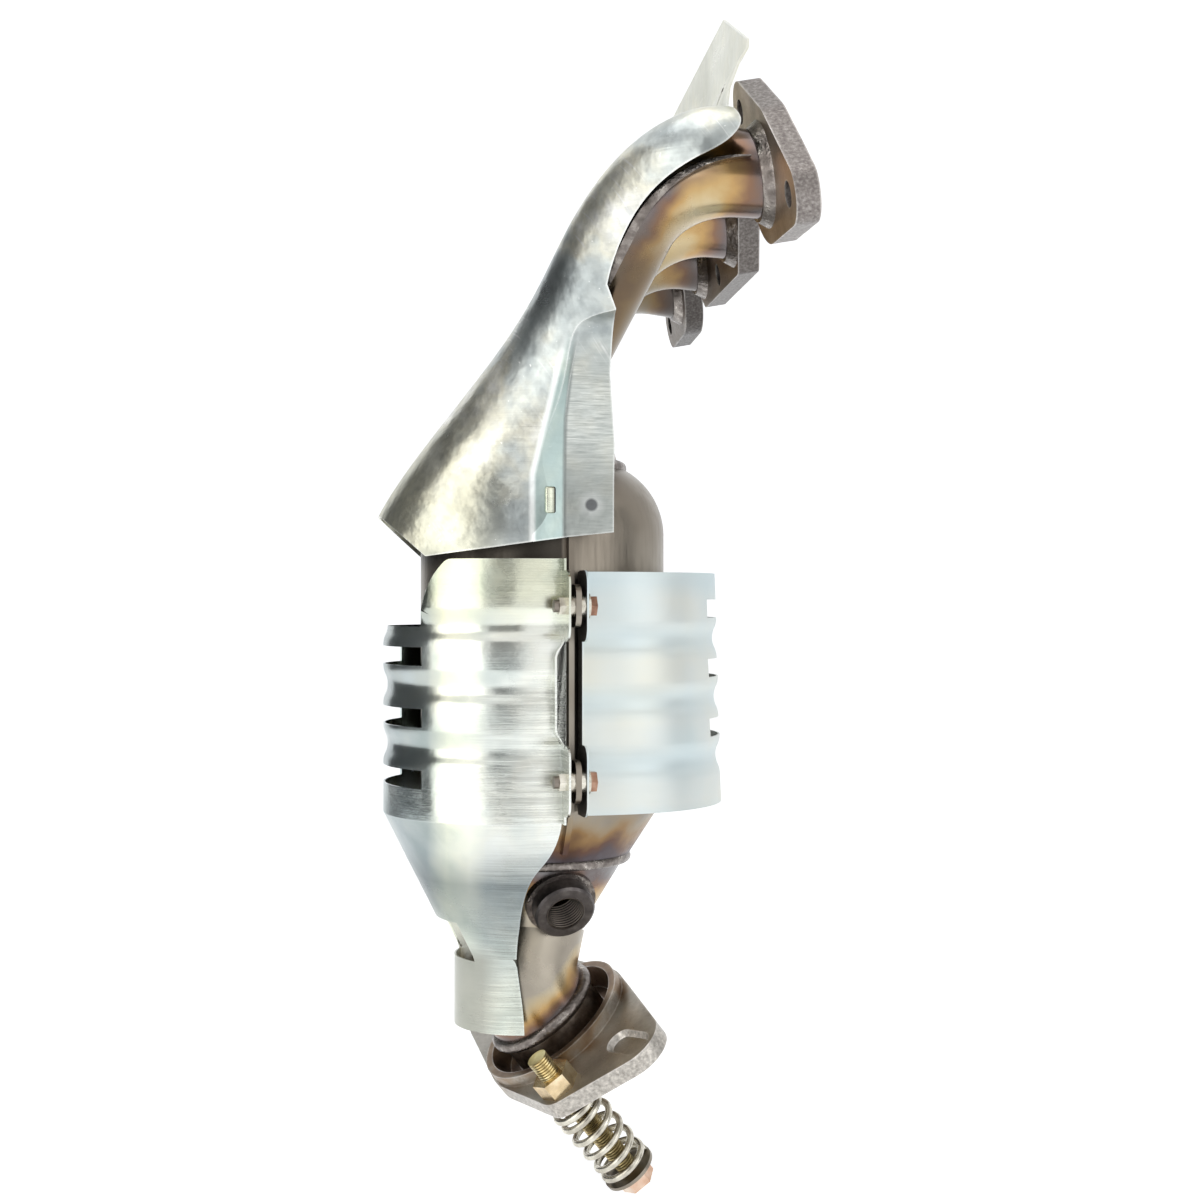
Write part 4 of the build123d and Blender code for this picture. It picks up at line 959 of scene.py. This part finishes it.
# %% Shield bolts: reddish plating on the heads, plain tails
reddish, tree, shader, place = start_material("reddish plate", 1.0, 0.35)
tone = ramp(
    tree,
    noise(tree, place, 190.0, 3.0),
    [(0.3, (0.22, 0.12, 0.085)), (0.55, (0.38, 0.22, 0.15)), (0.75, (0.52, 0.36, 0.28))],
)
past_fins = plane_distance(tree, place, (can_x, 0, 0), seam_out)
at_head = mapped(tree, past_fins, 0.002, 0.003, 0, 1)
tree.links.new(mixed(tree, at_head, (0.24, 0.21, 0.18), tone), shader.inputs["Base Color"])
bump(tree, shader, noise(tree, place, 900.0, 2.0), 0.3, 0.0003)
print("material:", reddish.name)

# %% Honeycomb brick and its mat
brick, tree, shader, place = start_material("fired honeycomb", 0.0, 0.9)
cells = tree.nodes.new("ShaderNodeTexChecker")
cells.inputs["Scale"].default_value = 800.0
cells.inputs["Color1"].default_value = (0.62, 0.52, 0.40, 1)
cells.inputs["Color2"].default_value = (0.20, 0.16, 0.12, 1)
tree.links.new(vector_maths(tree, "MULTIPLY", place, (1, 1, 0)), cells.inputs["Vector"])
tree.links.new(cells.outputs["Color"], shader.inputs["Base Color"])
fibre, tree, shader, place = start_material("mineral mat", 0.0, 0.95)
tone = ramp(tree, noise(tree, place, 400.0, 4.0), [(0.3, (0.60, 0.58, 0.53)), (0.7, (0.78, 0.76, 0.70))])
tree.links.new(tone, shader.inputs["Base Color"])
bump(tree, shader, noise(tree, place, 900.0, 3.0), 0.6, 0.0008)
print("materials:", brick.name, "and", fibre.name)

# %% [markdown]
# ## Dressing the CAD nodes
#
# Each node's slots take the new finish, and its CAD mesh is left alone. Only the two can
# shields and the springs are then drawn by pieces of their own.

# %% Put each finish on its nodes
finishes = {
    "port_flange_front": sawn,
    "port_flange_centre": sawn_shaded,
    "port_flange_rear": sawn_deep_shaded,
    "port_welds": weld,
    "manifold_upper_shell": heated,
    "manifold_lower_shell": heated,
    "manifold_seam_weld": weld,
    "collector_weld": weld,
    "can_front_half": stainless,
    "can_rear_half": stainless,
    "support_mat": fibre,
    "catalyst_brick": brick,
    "cone_weld": weld,
    "outlet_pipe": piped,
    "sensor_boss": bored,
    "boss_weld": weld,
    "collar_weld": weld,
    "outlet_collar": turned,
    "outlet_flange": dished,
    "joint_seat": turned,
    "spring_bolts": zinc,
    "spring_bolt_nuts": nut_zinc,
    "spring_washers": stainless,
    "springs": wire_steel,
    "front_heat_shield": bright_sheet,
    "rear_heat_shield": pale_sheet,
    "shield_bolts": reddish,
    "shield_washers": wire_steel,
    "shield_spacers": wire_steel,
    "shield_nuts": wire_steel,
    "upper_heat_shield": hood_sheet,
    "cover_brackets": stainless,
}
for name, finish in finishes.items():
    part = nodes[name]
    if not part.data.materials:
        part.data.materials.append(finish)
    for place_in_part in part.material_slots:
        place_in_part.material = finish
print("dressed:", len(finishes), "of", len(nodes))

# %% [markdown]
# ## Rounded grooves in the can shields
#
# A press tool leaves no sharp corner in sheet. The source keeps its groove walls flat, so
# that the solid stays light. Each can shield is copied and merged here, and only the
# shallow folds are bevelled: the right angles at rims and slots were sheared, and stay
# sharp.

# %% Merge a copy and round its shallow folds
fold_low, fold_high = radians(15), radians(50)
fold_width = 0.0018


def pressed_copy(name, piece_name):
    """A merged copy of a sheet node with its shallow folds rounded."""
    bpy.ops.object.select_all(action="DESELECT")
    nodes[name].select_set(True)
    bpy.context.view_layer.objects.active = nodes[name]
    bpy.ops.object.duplicate()
    piece = bpy.context.object
    piece.name = piece_name
    del piece["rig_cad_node"]
    bpy.ops.mesh.customdata_custom_splitnormals_clear()
    bpy.ops.object.mode_set(mode="EDIT")
    bpy.ops.mesh.select_mode(type="EDGE")
    bpy.ops.mesh.select_all(action="SELECT")
    bpy.ops.mesh.remove_doubles(threshold=0.00001)
    bpy.ops.mesh.dissolve_limited(angle_limit=radians(0.5))
    bpy.ops.mesh.select_all(action="DESELECT")
    shape = bmesh.from_edit_mesh(piece.data)
    for edge in shape.edges:
        edge.select = len(edge.link_faces) == 2 and fold_low < edge.calc_face_angle(0) < fold_high
    shape.select_flush_mode()
    bmesh.update_edit_mesh(piece.data)
    bpy.ops.mesh.bevel(offset=fold_width, segments=3, clamp_overlap=False)
    bpy.ops.object.mode_set(mode="OBJECT")
    bpy.ops.object.shade_smooth_by_angle(angle=radians(40))
    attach(piece, "root")
    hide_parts(name)
    return piece


front_pressed = pressed_copy("front_heat_shield", "front_shield_pressed")
rear_pressed = pressed_copy("rear_heat_shield", "rear_shield_pressed")
print("pressed shields:", len(front_pressed.data.polygons), "and", len(rear_pressed.data.polygons), "faces")

# %% [markdown]
# ## Punched tab on the hood
#
# A small tongue is lanced out of the step on each side of the hood. A bevelled block a
# few millimetres wide, turned to lie on the slope of the step, shows it.

# %% Tongue on the near side, then its mirror image on the far side
tongue_size = (0.0046, 0.0026, 0.0112)
tongue_place = (-0.0880, 0.0662, -0.1256)
step_slope = radians(15.5)


def tongue(name, side):
    """One rounded tongue, a little proud of the step. The side is -1 near and 1 far."""
    bpy.ops.object.select_all(action="DESELECT")
    bpy.ops.mesh.primitive_cube_add(size=1)
    piece = bpy.context.object
    piece.name = name
    bpy.ops.object.mode_set(mode="EDIT")
    bpy.ops.transform.resize(value=tongue_size)
    bpy.ops.mesh.bevel(offset=0.0009, segments=3)
    bpy.ops.transform.rotate(value=side * step_slope, orient_axis="Z", center_override=(0, 0, 0))
    bpy.ops.transform.translate(value=(tongue_place[0], side * tongue_place[1], tongue_place[2]))
    bpy.ops.object.mode_set(mode="OBJECT")
    bpy.ops.object.shade_smooth_by_angle(angle=radians(40))
    piece.data.materials.append(bright_sheet)
    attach(piece, "root")


tongue("hood_tongue_near", -1)
tongue("hood_tongue_far", 1)
print("tongues: 2")

# %% [markdown]
# ## Springs
#
# The source gives each coil a six-sided wire to keep the solid light. Here one round
# wire is turned up a helix by a Screw modifier, with a closed turn at each end, as a
# spring winder leaves it. The same steps wind the coil of each bolt.

# %% A coil of three stages for each bolt
spring_radius = 0.0102
wire_radius = 0.0016
spring_length = 0.042
closed_rise = 0.0033
open_turns = 4
far_bolt, near_bolt = (-0.0105, 0.049), (0.0105, -0.049)
dish_height, plate_thickness = 0.0055, 0.008
outlet_x = Vector((cos(lean), 0, sin(lean)))
outlet_y = outlet_axis.cross(outlet_x)


def helix_stage(height, rise, turns):
    """One stage of a coil: a ring of wire section turned up a helix."""
    bpy.ops.object.select_all(action="DESELECT")
    bpy.ops.mesh.primitive_circle_add(vertices=16, radius=wire_radius)
    stage = bpy.context.object
    bpy.ops.object.mode_set(mode="EDIT")
    bpy.ops.mesh.select_all(action="SELECT")
    bpy.ops.transform.rotate(value=pi / 2, orient_axis="X", center_override=(0, 0, 0))
    bpy.ops.transform.translate(value=(spring_radius, 0, height))
    bpy.ops.object.mode_set(mode="OBJECT")
    screw = stage.modifiers.new("helix", "SCREW")
    screw.axis = "Z"
    screw.angle = 2 * pi
    screw.iterations = turns
    screw.screw_offset = rise
    screw.steps = 36
    screw.render_steps = 36
    bpy.ops.object.modifier_apply(modifier=screw.name)
    return stage


def coil(name, where):
    """A coil of round wire round one spring bolt, its end turns closed."""
    open_rise = (spring_length - 2 * wire_radius - 2 * closed_rise) / open_turns
    stages = [
        helix_stage(wire_radius, closed_rise, 1),
        helix_stage(wire_radius + closed_rise, open_rise, open_turns),
        helix_stage(wire_radius + closed_rise + open_rise * open_turns, closed_rise, 1),
    ]
    bpy.ops.object.select_all(action="DESELECT")
    for stage in stages:
        stage.select_set(True)
    bpy.context.view_layer.objects.active = stages[0]
    bpy.ops.object.join()
    wire = bpy.context.object
    wire.name = name
    bpy.ops.object.mode_set(mode="EDIT")
    bpy.ops.mesh.select_all(action="SELECT")
    bpy.ops.mesh.remove_doubles(threshold=0.00002)
    bpy.ops.mesh.select_all(action="DESELECT")
    bpy.ops.mesh.select_mode(type="EDGE")
    bpy.ops.mesh.select_non_manifold()
    bpy.ops.mesh.fill()
    bpy.ops.mesh.select_all(action="SELECT")
    bpy.ops.mesh.normals_make_consistent(inside=False)
    bpy.ops.object.mode_set(mode="OBJECT")
    bpy.ops.object.shade_smooth()
    turn = Matrix((outlet_x, outlet_y, outlet_axis)).transposed().to_4x4()
    depth = dish_height + plate_thickness
    base = outlet_centre + where[0] * outlet_x + where[1] * outlet_y + depth * outlet_axis
    wire.data.transform(Matrix.Translation(base) @ turn)
    wire.data.materials.append(wire_steel)
    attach(wire, "root")
    return wire


near_spring = coil("spring_near", near_bolt)
coil("spring_far", far_bolt)
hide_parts("springs")
print("coils of", len(near_spring.data.polygons), "faces each")
